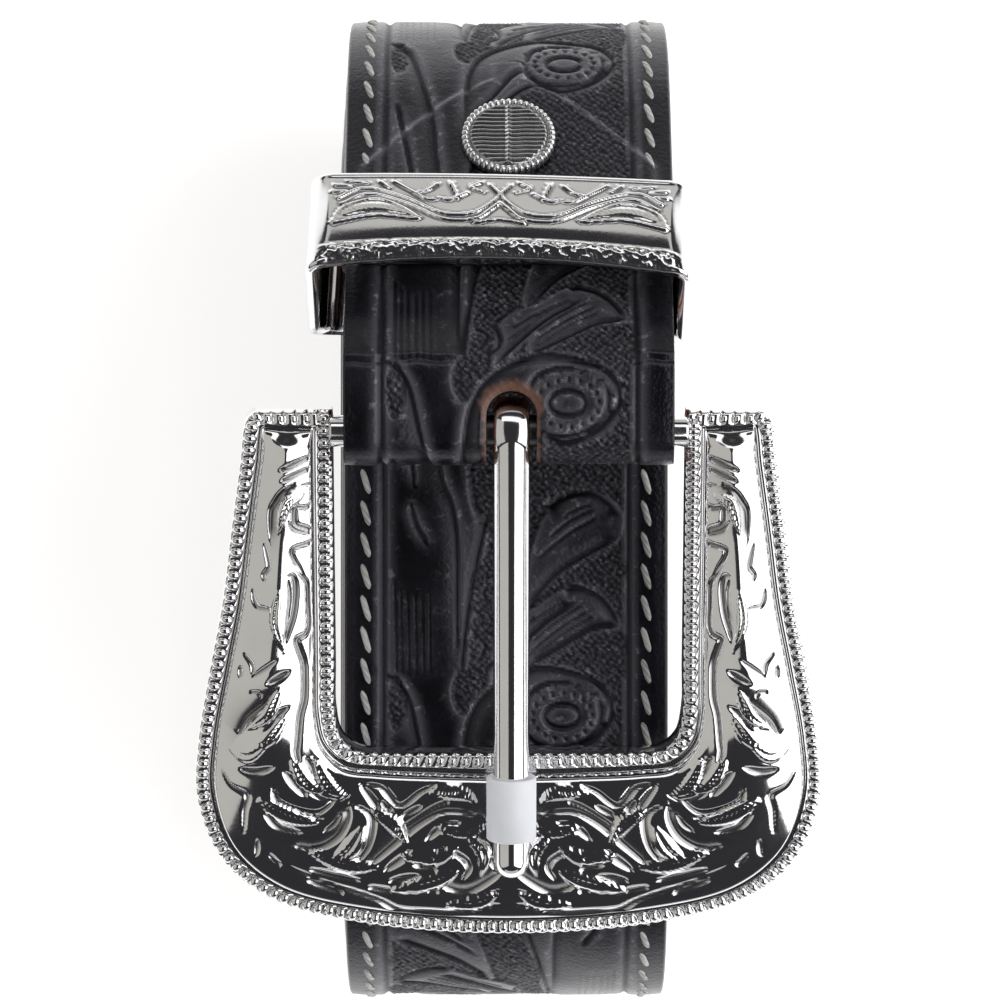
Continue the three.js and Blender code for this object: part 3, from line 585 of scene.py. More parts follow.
@dataclass
class Tooling:
    """The carved floral pattern of the strap, one repeat of it on a flat pattern, millimetres.

    The second coordinate runs towards the buckle, from 0 at a scroll to the next.
    """

    period: float = 49.0
    half: float = 19.0
    step: float = 0.1
    border: float = 14.3
    first_window: float = 264.8
    window_repeat: float = 5.0
    hidden_from: float = 75.0
    hidden_to: float = 175.0
    mirror_from: float = 140.0
    mirror_to: float = 244.0
    height: Array = field(init=False)
    stipple: Array = field(init=False)
    wear_and_sheen: Array = field(init=False)

    def __post_init__(self) -> None:
        """Carves one repeat."""
        across = np.arange(-self.half, self.half + self.step, self.step)
        along = np.arange(0.0, self.period, self.step)
        u, t = np.meshgrid(across, along, indexing="ij")
        relief = Relief(u, t)
        self.press_ground(relief)
        for shift in (-self.period, 0.0, self.period):
            self.carve(relief, shift)
        for side in (-1, 1):
            line = np.array([(side * self.border, -9.0), (side * self.border, self.period + 9.0)])
            relief.cut(line, 0.42, 0.42)
        self.height = relief.height
        self.stipple = relief.stipple
        # Painted highlight: a mask of the raised edges of the carving, which the leather material paints
        # bright.
        around = self.height
        for shift in (3, 5, 8):
            around = (around + np.roll(around, shift, 0) + np.roll(around, -shift, 0)
                      + np.roll(around, shift, 1) + np.roll(around, -shift, 1)) / 5
        self.wear_and_sheen = np.clip((self.height - around) / 0.11, 0.0, 1.0)
        LOG.info("tooling: %d by %d pattern points", *self.height.shape)

    def press_ground(self, relief: Relief) -> None:
        """Presses the stippled ground right of the stem, between the leaves.

        Args:
            relief: The surface that it is pressed into.
        """
        leaves = [curve(outline) for outline in FLOWER_LEAVES]
        stem = np.interp(relief.y, (0.0, 6.0, 10.0, 16.0, 24.0, 28.9, 36.7, 43.5, 49.0),
                         (-5.2, -4.4, -4.9, -5.0, -4.6, -1.8, -3.6, -4.65, -5.2))
        ground = smooth(0.2, 0.8, relief.x - stem) * smooth(13.9, 13.4, relief.x)
        for shift in (-self.period, 0.0, self.period):
            for cu, ct, ru, rt in GROUNDS:
                gap = np.hypot((relief.x - cu) / ru, (relief.y - ct - shift) / rt)
                ground = np.maximum(ground, smooth(1.12, 0.86, gap))
        for shift in (-self.period, 0.0, self.period):
            for outline in leaves:
                moved = outline + (0.0, shift)
                mask = relief.near(moved, 1.0)
                if mask.any():
                    distance, _, _ = line_distance(moved, relief.x[mask], relief.y[mask])
                    within = inside_of(moved, relief.x[mask], relief.y[mask])
                    ground[mask] *= np.where(within, 0.0, smooth(0.15, 0.55, distance))
        relief.ground(ground, 0.34, 0.95)

    def carve(self, relief: Relief, shift: float) -> None:
        """Carves one repeat of the flower, leaves and stem.

        Args:
            relief: The surface that it is cut into.
            shift: How far along it lies.
        """
        for stroke in self.cuts():
            relief.cut(curve(list(stroke.points)) + (0.0, shift), stroke.depth, stroke.width, stroke.bevel)
        for turn in range(17):
            angle = math.radians(20 + 21 * turn)
            place = (6.6 + 3.5 * math.cos(angle), 4.9 + shift + 2.7 * math.sin(angle))
            relief.dot(place, 0.36, 0.26)

    @staticmethod
    def cuts() -> list[Stroke]:
        """The swivel-knife cuts and bevels."""
        veins = [[(3.7, 35.4), (7.6, 32.3), (10.6, 30.7)], [(5.2, 32.8), (7.8, 30.8), (10.4, 29.6)],
                 [(6.6, 30.6), (8.6, 29.5), (10.2, 29.1)], [(2.7, 43.0), (5.0, 41.4), (7.1, 40.4)],
                 [(2.9, 45.3), (6.0, 42.8), (8.9, 40.9)], [(2.9, 46.3), (6.4, 43.5), (9.7, 41.5)],
                 [(3.1, 46.9), (7.0, 44.0), (10.3, 42.1)], [(3.2, 47.4), (7.2, 44.6), (10.6, 42.9)],
                 [(0.4, 44.6), (3.4, 42.2)], [(-0.4, 46.4), (2.6, 43.7)]]
        petals = []
        for turn in range(11):
            angle = math.radians(150 + 27 * turn)
            c, s = math.cos(angle), math.sin(angle)
            petals.append([(6.6 + 4.5 * c, 4.9 + 3.4 * s),
                           (6.6 + 5.4 * c - 0.7 * s, 4.9 + 4.1 * s + 0.6 * c)])
        fibres = [[(x, 38.5 + 0.9 * math.sin(7 * x)), (x + 0.15, 49.0)]
                  for x in (-12.9, -12.2, -11.4, -10.5, -9.7, -8.9)]
        return [
            *strokes(0.62, 0.34, 1.0,
                [(-14.3, -0.4), (-11.6, 2.5), (-10.2, 8.0), (-8.9, 14.0), (-8.4, 20.0), (-7.6, 26.0),
                (-6.5, 28.9), (-5.8, 33.0), (-5.7, 40.0), (-5.7, 49.0)], [(-5.0, 16.0), (-4.9, 10.0),
                (-4.4, 6.0), (-3.0, 3.0), (0.0, 0.6), (3.7, -0.8), (8.4, 0.0), (10.7, 1.0), (12.2, 3.0),
                (12.4, 5.0)], [(4.5, 29.7), (7.4, 27.9), (10.2, 27.9), (13.1, 30.2)], [(6.6, 38.9),
                (8.4, 38.8), (10.2, 39.5), (11.8, 40.9), (13.1, 43.0)], [(-1.8, 28.9), (-3.6, 36.7),
                (-4.65, 43.5), (-5.2, 49.0)]),
            *strokes(0.66, 0.36, -1.0,
                [(2.2, 41.4), (5.5, 37.5), (8.9, 35.2), (12.9, 33.0)], [(2.3, 48.2), (7.1, 45.3),
                (10.0, 43.7), (13.1, 43.2)], [(-1.6, 49.6), (1.4, 46.0), (4.4, 43.0), (8.0, 40.6)],
                [(12.5, 3.6), (12.1, 5.4), (10.1, 7.9), (6.4, 9.4), (3.2, 8.6), (0.2, 10.6), (-2.4, 15.6),
                (-4.6, 24.0)]),
            *strokes(0.5, 0.3, 0.0,
                [(2.0, 4.6), (2.2, 6.6), (3.6, 8.1), (6.6, 8.6), (9.6, 7.4), (11.2, 5.0), (10.8, 2.6)],
                [(2.0, 4.6), (2.8, 2.2), (5.0, 1.0), (8.0, 1.0)], [(-4.4, 14.0), (-1.6, 10.4), (0.4, 7.4),
                (2.0, 6.0)], [(-11.1, 29.2), (-10.4, 31.6), (-9.1, 33.6)], [(-4.0, 44.2), (-2.4, 45.6),
                (-3.4, 47.8)], [(-1.4, 44.4), (-1.0, 46.8), (-2.6, 48.6)], [(-13.0, 12.0), (-11.6, 20.0),
                (-10.6, 27.0)]),
            *strokes(0.34, 0.2, 0.0, *veins, *petals),
            *strokes(0.12, 0.16, 0.0, *fibres),
            *strokes(0.8, 0.5, 0.0, [(8.2, 8.6), (10.4, 7.4), (11.8, 5.6)]),
            *strokes(0.4, 0.26, 0.0, ellipse_points(6.6, 4.9, 2.1, 1.4)),
        ]

    def phase(self, inward: Array) -> Array:
        """Repeats passed, by distance inward from the crease; the hidden stretch evens them out."""
        low, high = self.hidden_from, self.hidden_to
        window = self.window_repeat + (high - self.first_window) / self.period
        later = window + (inward - high) / self.period
        hidden = low / self.period + (inward - low) / (high - low) * (window - low / self.period)
        return np.where(inward < low, inward / self.period, np.where(inward > high, later, hidden))

    def sample(self, u: Array, t: Array) -> tuple[Array, Array, Array]:
        """Height, stipple and painted highlight at places on the strap.

        Args:
            u: Places across the strap.
            t: Distance from the crease towards the buckle, negative on the roll.

        Returns:
            The carved height, how much of the stippled ground shows, and where the raised edges get a painted
            highlight.
        """
        inward = -t
        turned = (inward > self.mirror_from) & (inward < self.mirror_to)
        side = np.where(turned, -1.0, 1.0)
        a = (u * side + self.half) / self.step
        b = np.mod(-self.phase(inward), 1.0) * self.period / self.step
        i = np.clip(np.floor(a).astype(int), 0, self.height.shape[0] - 2)
        j = np.floor(b).astype(int) % self.height.shape[1]
        k = (j + 1) % self.height.shape[1]
        fa, fb = np.clip(a - i, 0.0, 1.0), b - np.floor(b)

        def mix(tile: Array) -> Array:
            """Smooth value between four pattern points."""
            low = tile[i, j] * (1 - fa) + tile[i + 1, j] * fa
            return low * (1 - fb) + (tile[i, k] * (1 - fa) + tile[i + 1, k] * fa) * fb

        seam = np.minimum(np.abs(inward - self.mirror_from), np.abs(inward - self.mirror_to))
        fade = np.where(np.abs(u) < self.border - 0.8, smooth(0.0, 3.0, seam), 1.0)
        return mix(self.height) * fade, mix(self.stipple) * fade, mix(self.wear_and_sheen) * fade


def ellipse_points(x: float, y: float, across: float, along: float) -> list[tuple[float, float]]:
    """Eight points round an ellipse and back to the first."""
    return [(x + across * math.cos(k * math.pi / 4), y + along * math.sin(k * math.pi / 4)) for k in range(9)]


def inside_of(outline: Array, x: Array, y: Array) -> Array:
    """Whether places lie inside a closed outline."""
    inside = np.zeros(x.shape, dtype=bool)
    for (ax, ay), (bx, by) in zip(outline[:-1], outline[1:]):
        crosses = (ay > y) != (by > y)
        with np.errstate(divide="ignore", invalid="ignore"):
            inside ^= crosses & (x < ax + (y - ay) * (bx - ax) / (by - ay))
    return inside


@dataclass
class Strap:
    """The tooled face leather, its lining and the stitches that join them."""

    end_from: float = -13.5
    floor_middle: float = -137.0
    window_inner: float = -318.0
    fine: float = 0.25
    edge: float = 0.42
    ridge_from: float = -72.0
    window_from: float = -300.0
    window_to: float = -249.0
    turn_to: float = -200.0
    tab_from: float = 34.0
    course: StrapCourse = COURSE
    tooling: Tooling = field(default_factory=Tooling)
    stitch_pitch: float = 3.7
    stitch_length: float = 3.2
    stitch_inset: float = 2.6
    stitch_from: float = -317.0
    stitch_to: float = -22.0

    def __post_init__(self) -> None:
        """Works out the courses."""
        self.face = self.course.face_table()
        self.lining = self.course.lining_table()
        self.fold_end = float(self.face[-1, 0])

    def stations(self, table: Array, t: Array) -> tuple[Array, ...]:
        """Middle surface y, z, normal angle, drift and thickness at distances along."""
        return tuple(np.interp(t, table[:, 0], table[:, k]) for k in range(1, 6))

    def half_width(self, t: Array, table: Array) -> Array:
        """Half the strap's width at distances along: rounded free end, pointed tab."""
        s = self.course.s
        from_tip = np.clip((t - table[0, 0]) / s.tip_length, 0.0, 1.0)
        half = s.tip_blunt + (s.width / 2 - s.tip_blunt) * np.sin(from_tip * math.pi / 2)
        if table is self.face:
            from_point = self.fold_end - t
            tab_length = s.lining_reach + 1 - self.course.tab_tip
            half = np.where(from_point < tab_length, self.course.tab_half(from_point), half)
        return half

    def point(self, table: Array, t: Array, u: Array, rise: Array) -> Array:
        """Places by distance along, across and over the middle surface.

        Args:
            table: The course of the layer.
            t: Distance along.
            u: Across.
            rise: Over the middle surface.

        Returns:
            One row of x, y, z for each.
        """
        y, z, angle, drift, _ = self.stations(table, t)
        a = np.radians(angle)
        return np.stack([u + drift, y + np.cos(a) * rise, z + np.sin(a) * rise], axis=-1)

    def ribbon(self, name: str, table: Array, t: Array, columns: int, under: int,
               carved: bool) -> Object:
        """Closed ribbon of leather with rounded edges.

        Args:
            name: The piece's name.
            table: Its course.
            t: Distances of its rows.
            columns: Columns on its outer side.
            under: Columns on its inner side.
            carved: Whether the outer side has the tooling.

        Returns:
            The piece.
        """
        thick = self.stations(table, t)[4]
        half = self.half_width(t, table)
        share = np.linspace(-1.0, 1.0, columns)
        back = np.linspace(1.0, -1.0, under)
        turn = np.radians([65.0, 35.0, 0.0, -35.0, -65.0])
        u_rows, rise_rows, mask = [], [], []
        flat = half - self.edge
        for c in share:
            u_rows.append(c * flat)
            rise_rows.append(thick / 2 - 0.10 * smooth(0.93, 1.0, np.full(t.shape, abs(c))))
            mask.append(float(smooth(0.965, 1.0, np.array(abs(c)))))
        for a in turn:
            u_rows.append(flat + self.edge * math.cos(a))
            rise_rows.append(thick / 2 * (math.sin(a) * 0.93))
            mask.append(1.0)
        for c in back:
            u_rows.append(c * flat)
            rise_rows.append(-thick / 2)
            mask.append(0.35 if abs(c) > 0.98 else 0.0)
        for a in turn[::-1]:
            u_rows.append(-flat - self.edge * math.cos(a))
            rise_rows.append(thick / 2 * (math.sin(a) * 0.93))
            mask.append(1.0)
        u = np.stack(u_rows, axis=1)
        rise = np.stack(rise_rows, axis=1)
        tt = np.repeat(t[:, None], u.shape[1], axis=1)
        stipple = np.zeros(u.shape)
        depth = np.zeros(u.shape)
        wear_and_sheen = np.zeros(u.shape)
        if carved:
            top, along = u[:, :columns], tt[:, :columns]
            height, ground, bright = self.tooling.sample(top, along)
            left = self.carved_share(along)
            plain = smooth(16.0, 15.2, np.abs(top)) * left
            plain = np.where(np.abs(np.abs(top) - self.tooling.border) < 1.2, left, plain)
            depth[:, :columns] = height * plain
            stipple[:, :columns] = ground * plain
            tab = self.tab_under(top, along)
            # Painted highlight along the carving's raised edges and along the rim of the tab under the face.
            wear_and_sheen[:, :columns] = bright * plain + 0.5 * np.clip(tab[1], 0.0, 1.0)
            rise[:, :columns] += tab[0]
        rise = rise + depth + self.wobble(u, tt, table) * (np.abs(rise) > 0)
        points = self.point(table, tt, u, rise).reshape(-1, 3)
        faces = grid_faces(len(t), u.shape[1], closed=True)
        piece = new_mesh(name, points, faces, Body.STRAP)
        paint(piece, "edge", np.repeat(np.array(mask)[None, :], len(t), axis=0).ravel())
        # Painted shade in the carved cuts, which the leather material darkens.
        paint(piece, "painted_shade", np.clip(-depth / 0.5, 0.0, 1.0).ravel())
        paint(piece, "stipple", stipple.ravel())
        paint(piece, "wear_and_sheen", wear_and_sheen.ravel())
        paint(piece, "flesh", (rise < 0).astype(float).ravel())
        paint_uv(piece, u, tt)
        self.close_ends(piece, len(t), u.shape[1])
        return piece

    @staticmethod
    def close_ends(piece: Object, rows: int, columns: int) -> None:
        """Closes both ends of a ribbon."""
        with reshaping(piece) as work:
            work.faces.new([work.verts[i] for i in range(columns)])
            work.faces.new([work.verts[(rows - 1) * columns + i] for i in reversed(range(columns))])

    def tab_under(self, u: Array, t: Array) -> tuple[Array, Array]:
        """The pointed tab under the face, which shows through it as a low step.

        Args:
            u: Across.
            t: Distance along.

        Returns:
            The rise, and where a painted highlight runs along its rim.
        """
        tip = -self.course.crease_along + self.course.tab_tip
        half = self.course.tab_half(t - tip - 0.3)
        gap = np.abs(u) - half
        on = (t > tip - 2.0) & (t < self.end_from + 3.0)
        rim = np.exp(-((gap / 0.6) ** 2))
        return np.where(on, 0.3 * smooth(0.55, -0.55, gap), 0.0), np.where(on, rim, 0.0)

    def carved_share(self, t: Array) -> Array:
        """How much of the tooling is left, which fades out over the bar."""
        return smooth(19.0, 14.0, t)

    def wobble(self, u: Array, t: Array, table: Array) -> Array:
        """Small unevenness of worn leather, with wrinkles across the crease."""
        soft = 0.06 * ripple(u, t, 23.0, 0.7)
        if table is not self.face:
            return soft * 0.4
        place = t + 0.18 * np.sin(0.45 * u) + 0.1 * np.sin(1.7 * u)
        crease = -0.30 * np.exp(-np.abs(place) / 0.28) + 0.10 * np.exp(-(((place + 0.7) / 0.5) ** 2))
        stretched = np.exp(-(((t + 3.2) / 2.4) ** 2)) * 0.035 * ripple(u, t * 0.08, 0.55, 2.0)
        return soft + crease + stretched

    def rows(self, low: float, high: float, step: float) -> Array:
        """Distances from one to another in even steps."""
        return np.linspace(low, high, max(2, int(round((high - low) / step)) + 1))

    def build_face(self) -> list[Object]:
        """Builds the face leather in four lengths that meet out of sight."""
        columns = int(self.course.s.width / self.fine) + 1
        ridge_rows = np.concatenate([
            self.rows(self.floor_middle, self.ridge_from, 0.8)[:-1],
            self.rows(self.ridge_from, self.end_from, self.fine)])
        window_rows = np.concatenate([
            self.rows(self.window_inner, self.window_from, 0.6)[:-1],
            self.rows(self.window_from, self.window_to, self.fine)[:-1],
            self.rows(self.window_to, self.turn_to, 0.36)[:-1],
            self.rows(self.turn_to, self.floor_middle, 0.9)])
        found = [
            self.ribbon("tooled_ridge", self.face, ridge_rows, columns, 12, True),
            self.ribbon("tooled_window", self.face, window_rows, columns, 12, True),
            self.build_inner(),
            self.build_end(columns),
        ]
        for piece in found:
            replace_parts(piece, "strap_face")
        return found

    def build_inner(self) -> Object:
        """Builds the inner turns, down to the rounded free end; the solids alone have its prong holes."""
        tip = float(self.face[0, 0])
        t = np.concatenate([self.rows(tip, tip + 22, 0.5)[:-1], self.rows(tip + 22, self.window_inner, 1.4)])
        return self.ribbon("tooled_inner", self.face, t, 44, 12, True)

    def build_end(self, columns: int) -> Object:
        """Builds the fold round the buckle's bar, with the prong's slot, and the tab.

        Args:
            columns: Columns across.

        Returns:
            The piece.
        """
        s = self.course.s
        t = np.concatenate([self.rows(self.end_from, self.tab_from, self.fine)[:-1],
                            self.rows(self.tab_from, self.fold_end, 0.7)])
        half = self.half_width(t, self.face) - self.edge
        share = np.linspace(-1.0, 1.0, columns)
        u = share[None, :] * half[:, None]
        tt = np.repeat(t[:, None], columns, axis=1)
        thick = self.stations(self.face, t)[4][:, None]
        height, ground, bright = self.tooling.sample(u, tt)
        fade = self.carved_share(tt)
        near_slot = self.slot_gap(u, tt)
        u, tt = self.snap_to_slot(u, tt, near_slot)
        fade = fade * smooth(0.3, 1.4, near_slot)
        soften = 0.10 * smooth(0.93, 1.0, np.abs(share))[None, :] + 0.35 * smooth(0.9, 0.0, near_slot)
        rise = thick / 2 + height * fade - soften + self.wobble(u, tt, self.face)
        outer = self.point(self.face, tt, u, rise)
        inner = self.point(self.face, tt, u, -thick / 2 + 0.3 * smooth(0.9, 0.0, near_slot))
        rows = len(t)
        faces = grid_faces(rows, columns)
        middle = near_slot.ravel()[faces].mean(axis=1)
        kept = faces[middle > 0.0]
        count = rows * columns
        walls = []
        edge_count: dict[tuple[int, int], int] = {}
        for face in kept:
            for a, b in zip(face, np.roll(face, -1)):
                edge_count[(int(a), int(b))] = edge_count.get((int(a), int(b)), 0) + 1
        for (a, b) in edge_count:
            if (b, a) not in edge_count:
                walls.append((b, a, a + count, b + count))
        points = np.vstack([outer.reshape(-1, 3), inner.reshape(-1, 3)])
        every = np.vstack([kept, kept[:, ::-1] + count, np.array(walls)])
        piece = new_mesh("tooled_end", points, every, Body.STRAP)
        rim = np.broadcast_to(smooth(0.975, 1.0, np.abs(share)), u.shape)
        first = float(tt[near_slot < 0.0].min())
        wide = 0.5 + 1.1 * smooth(first + 3.2, first + 0.4, tt) + 0.45 * ripple(u, tt, 1.3, 2.3)
        raw = smooth(wide, 0.4 * wide, near_slot) * (0.75 + 0.25 * ripple(u, tt, 0.6, 0.9)) * (tt < 25)
        paint(piece, "edge", np.concatenate([rim.ravel(), np.maximum(rim, 0.5).ravel()]))
        # Painted shade in the carved cuts and painted highlight on the raised edges of the carving.
        paint(piece, "painted_shade", np.concatenate([np.clip(-height * fade / 0.5, 0, 1).ravel(), np.zeros(count)]))
        paint(piece, "stipple", np.concatenate([(ground * fade).ravel(), np.zeros(count)]))
        paint(piece, "wear_and_sheen", np.concatenate([(bright * fade).ravel(), np.zeros(count)]))
        paint(piece, "flesh", np.concatenate([raw.ravel(), np.ones(count)]))
        both_u, both_t = np.concatenate([u.ravel()] * 2), np.concatenate([tt.ravel()] * 2)
        paint_uv(piece, both_u, both_t)
        with reshaping(piece) as work:
            loose = [v for v in work.verts if not v.link_faces]
            bmesh.ops.delete(work, geom=loose, context="VERTS")
        LOG.info("strap end: slot %.1f wide for the prong", s.slot_width)
        return piece

    def snap_to_slot(self, u: Array, t: Array, gap: Array) -> tuple[Array, Array]:
        """Moves the places nearest to the slot's outline onto it, so that its rim is smooth.

        Args:
            u: Across.
            t: Along.
            gap: Distance outside the outline.

        Returns:
            The places moved.
        """
        along, across = np.gradient(gap, t[:, 0], u[0])
        steep = np.maximum(np.hypot(along, across), 0.5)
        pull = np.where((gap > -0.2) & (gap < 0.36), gap * (1.0 - smooth(0.12, 0.36, gap)), 0.0)
        return u - across / steep * pull, t - along / steep * pull

    def slot_gap(self, u: Array, t: Array) -> Array:
        """Distance outside the prong's slot, negative within it."""
        s = self.course.s
        y = self.stations(self.face, t)[0]
        far = (s.bar_y + s.slot_reach) - y
        start = float(np.min(t[(far > 0)])) if np.any(far > 0) else 8.0
        end = float(np.max(t[(far > 0) & (t < self.tab_from)])) if np.any(far > 0) else 24.0
        half = s.slot_width / 2
        across = np.abs(u - s.slot_x)
        along = np.maximum(start + half - t, t - (end - half))
        round_end = np.hypot(across, np.maximum(along, 0.0)) - half
        return np.where(t < 40, round_end, 9.0)

    def build_lining(self) -> Object:
        """Builds the lining."""
        table = self.lining
        t = self.rows(float(table[0, 0]), float(table[-1, 0]), 1.3)
        piece = self.ribbon("lining_ribbon", table, t, 30, 30, False)
        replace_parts(piece, "strap_lining")
        return piece

    def build_stitches(self) -> Object:
        """Lays the slanted stitches along both edges of the two outer layers."""
        points, faces = [], []
        ring, length = 6, 7
        for side in (-1, 1):
            u0 = side * (self.course.s.width / 2 - self.stitch_inset)
            for t0 in np.arange(self.stitch_from, self.stitch_to, self.stitch_pitch):
                base = len(points)
                pressed = 0.34 if -178.0 < t0 < -98.0 else 0.0
                for i in range(length):
                    along = (i / (length - 1) - 0.5) * self.stitch_length
                    fat = 0.33 * (1 - abs(2 * i / (length - 1) - 1) ** 5 * 0.62)
                    lean = 0.28 * along
                    sink = 0.20 - 0.32 * math.cos(math.pi * along / (self.stitch_length * 1.25))
                    for j in range(ring):
                        a = 2 * math.pi * j / ring
                        points.append((t0 + along, u0 + lean + fat * 1.15 * math.cos(a),
                                       0.86 - sink - pressed + fat * 0.7 * math.sin(a)))
                for i in range(length - 1):
                    for j in range(ring):
                        k = (j + 1) % ring
                        faces.append((base + i * ring + j, base + i * ring + k,
                                      base + (i + 1) * ring + k, base + (i + 1) * ring + j))
        table = np.array(points)
        placed = self.point(self.face, table[:, 0], table[:, 1], table[:, 2])
        piece = new_mesh("stitches", placed, np.array(faces), Body.STRAP)
        paint_uv(piece, table[:, 1], table[:, 0])
        with reshaping(piece) as work:
            bmesh.ops.holes_fill(work, edges=work.edges, sides=ring)
        return piece


SECTIONS = (
    (1.005, -0.063, 0.79, -0.039, 0.5), (1.0, -0.03, 0.822, -0.02, 0.7), (1.0, 0.1, 0.843, 0.063, 0.74),
    (1.0, 0.31, 0.875, 0.195, 0.76), (1.0, 0.52, 0.907, 0.335, 0.79), (1.0, 0.73, 0.952, 0.47, 0.83),
    (1.0, 0.87, 0.992, 0.61, 0.88), (0.965, 0.95, 0.998, 0.725, 0.93), (0.865, 0.994, 0.925, 0.845, 0.97),
    (0.68, 1.0, 0.77, 0.927, 1.0), (0.4, 1.0, 0.48, 0.977, 1.0), (0.0, 1.0, 0.0, 1.0, 1.0),
)


class EdgeCurve:
    """Smooth line round the frame from one post's end to the other's."""

    def __init__(self, points: list[tuple[float, float, float]]) -> None:
        """Keeps the points of the left half and mirrors them.

        Args:
            points: Across, along and height, from the post's end to the middle of the lower bar.
        """
        half = np.array(points)
        left = half * (-1, 1, 1)
        whole = np.vstack([left, half[:-1][::-1]])
        self.points = np.vstack([2 * whole[0] - whole[1], whole, 2 * whole[-1] - whole[-2]])

    def at(self, share: Array) -> Array:
        """Points at shares of the way round.

        Args:
            share: From 0 to 1.

        Returns:
            One row of across, along and height for each.
        """
        count = len(self.points) - 3
        place = np.clip(share, 0.0, 1.0) * count
        i = np.minimum(place.astype(int), count - 1)
        t = (place - i)[:, None]
        p0, p1, p2, p3 = (self.points[i + k] for k in range(4))
        d0, d1, d2 = (np.maximum(np.linalg.norm(b - a, axis=1)[:, None] ** 0.5, 1e-4)
                      for a, b in ((p0, p1), (p1, p2), (p2, p3)))
        t1 = ((p1 - p0) / d0 - (p2 - p0) / (d0 + d1) + (p2 - p1) / d1) * d1
        t2 = ((p2 - p1) / d1 - (p3 - p1) / (d1 + d2) + (p3 - p2) / d2) * d1
        return p1 + t1 * t + (-3 * p1 + 3 * p2 - 2 * t1 - t2) * t**2 + (2 * p1 - 2 * p2 + t1 + t2) * t**3


# Scrolls and leaves of the frame, for one half; the other mirrors them.
ENGRAVING = (
    *strokes(0.42, 0.26, 0.0,
        [(23.9, 6.2), (22.9, 6), (22, 6.6), (22.2, 8.1), (23, 8.7), (24.1, 8.6), (24.3, 9.6), (24.1, 10.6),
        (23, 11.2), (22, 11.9), (22.5, 12.9), (24.5, 13.4), (24.5, 14.4), (23.8, 15.7), (23.1, 17.3)],
        [(25, 10.1), (24.3, 11.1), (23.3, 11.6), (22.4, 11.9)], [(25.1, 16.6), (24.5, 16.7), (24.3, 18.4),
        (24.6, 21.1), (25.2, 23.2), (25.5, 24.4)], [(24.5, 15), (23.7, 16.6), (23, 17.7), (22.9, 20.4),
        (22.8, 22.6), (23.2, 23.7), (24.2, 24.3), (24, 25.4), (23.5, 27.1), (23.4, 28.7), (23.5, 31.5),
        (24, 33.6), (24.3, 36.6), (24.4, 38.1), (23.7, 41), (22.3, 42.8), (19.9, 43.5), (18.4, 42.8)],
        [(27.2, 41.7), (26.5, 43.5), (24.3, 44.6), (21.9, 44.8), (19.9, 43.3)], [(27.2, 42.5), (26.2, 44.8),
        (23.8, 45.6), (21.4, 45.6)], [(21.4, 47.2), (20.2, 46.4), (19.4, 45.1)], [(18, 43.8), (16, 45.1),
        (15.8, 47.2), (16.6, 49.8), (18.8, 51.9)], [(17.1, 41.5), (15.8, 43.3), (14.3, 45.6), (13.3, 47.6)],
        [(13.3, 47.4), (10.7, 45.6), (8.3, 44.1), (6.6, 43.5)], [(17, 41.4), (14.6, 42), (12.6, 44.1),
        (10.2, 42.5), (8.3, 41.6)], [(9.5, 50), (7.3, 49.5), (5.1, 50.6), (4.6, 51.9), (5.6, 53.4)],
        [(2.2, 50), (1.5, 51.9)], [(25.6, 51.6), (20, 54), (15.2, 55.8), (12.7, 57.2), (9.3, 57.4),
        (5.6, 57.4), (0.5, 56.3)]),
    *strokes(0.5, 0.3, 1.0,
        [(24.1, 5.5), (25.5, 6.6), (26.3, 7.8), (26.9, 9.1), (27, 12.3)], [(31.1, 35.7), (29.9, 33.6),
        (26.7, 30.8)], [(25.1, 49), (22.4, 49.3), (20, 48), (18.7, 45.9), (18.5, 44.1)], [(16.3, 51.6),
        (13.9, 49.3), (10.2, 46.1), (7.1, 44.8), (2.9, 45.4)], [(7.6, 54.1), (4.7, 54.6), (1, 52.4)]),
    *strokes(0.3, 0.18, 0.0,
        [(27.8, 12.7), (27.5, 14.1), (27.3, 15.5), (27.9, 16.5), (27.7, 17.2)], [(25.1, 16.9), (24.9, 19.1),
        (25.2, 21.8), (25.5, 24)], [(29.2, 18.2), (29.1, 19.5), (28.6, 20.3), (27.8, 20.4), (26.9, 20.6)],
        [(30.4, 25.9), (29.4, 27.1), (29.3, 28.3)], [(30.7, 27.5), (30.8, 28.9)], [(29.4, 28.7),
        (27.9, 27.6), (26.5, 26.5)], [(29.8, 30.5), (28.6, 30.5), (28.3, 31.2)], [(33.2, 39.8), (32, 41.7),
        (30.2, 42.8), (30.5, 44.8), (30.6, 47.4)], [(29.1, 48.2), (29.2, 50.3)], [(27.9, 50), (26.3, 51.6)],
        [(22.6, 22.9), (22.5, 24.6), (22.7, 27.3)]),
    *strokes(0.4, 0.34, 0.0,
        [(26, 4.1), (24.2, 3.5), (22.4, 2.7)], [(25.8, 5.3), (24.2, 4.7), (22.5, 4.1)], [(27.7, 29.4),
        (25.1, 28)], [(29, 34.6), (25.3, 32.3)], [(31, 39.7), (29.1, 39.9), (27.1, 39.4)], [(23.4, 38.4),
        (21.6, 41.2)], [(22.5, 38.4), (21.1, 41)], [(25.8, 39.9), (23.3, 43)], [(28.1, 45), (26.5, 46.7),
        (23.8, 47.4)], [(14.7, 43.5), (13.4, 45.4)], [(12.3, 45.4), (10, 44.1)], [(9.5, 48.2), (7.8, 46.7),
        (5.6, 46.1)], [(14.4, 52.1), (11.2, 49.5)], [(11, 51.1), (8.3, 51.9)], [(13.9, 53.4), (10.3, 52.7)],
        [(23.2, 51.9), (20.3, 52.7), (17.1, 53.4)], [(23.4, 53.2), (19.1, 55.1)], [(16.4, 54.1),
        (13.7, 54.7), (11.2, 54.6)], [(10.5, 54.1), (8.1, 54.7)], [(6.1, 55.8), (3.2, 55.8), (1, 54.6)]),
)

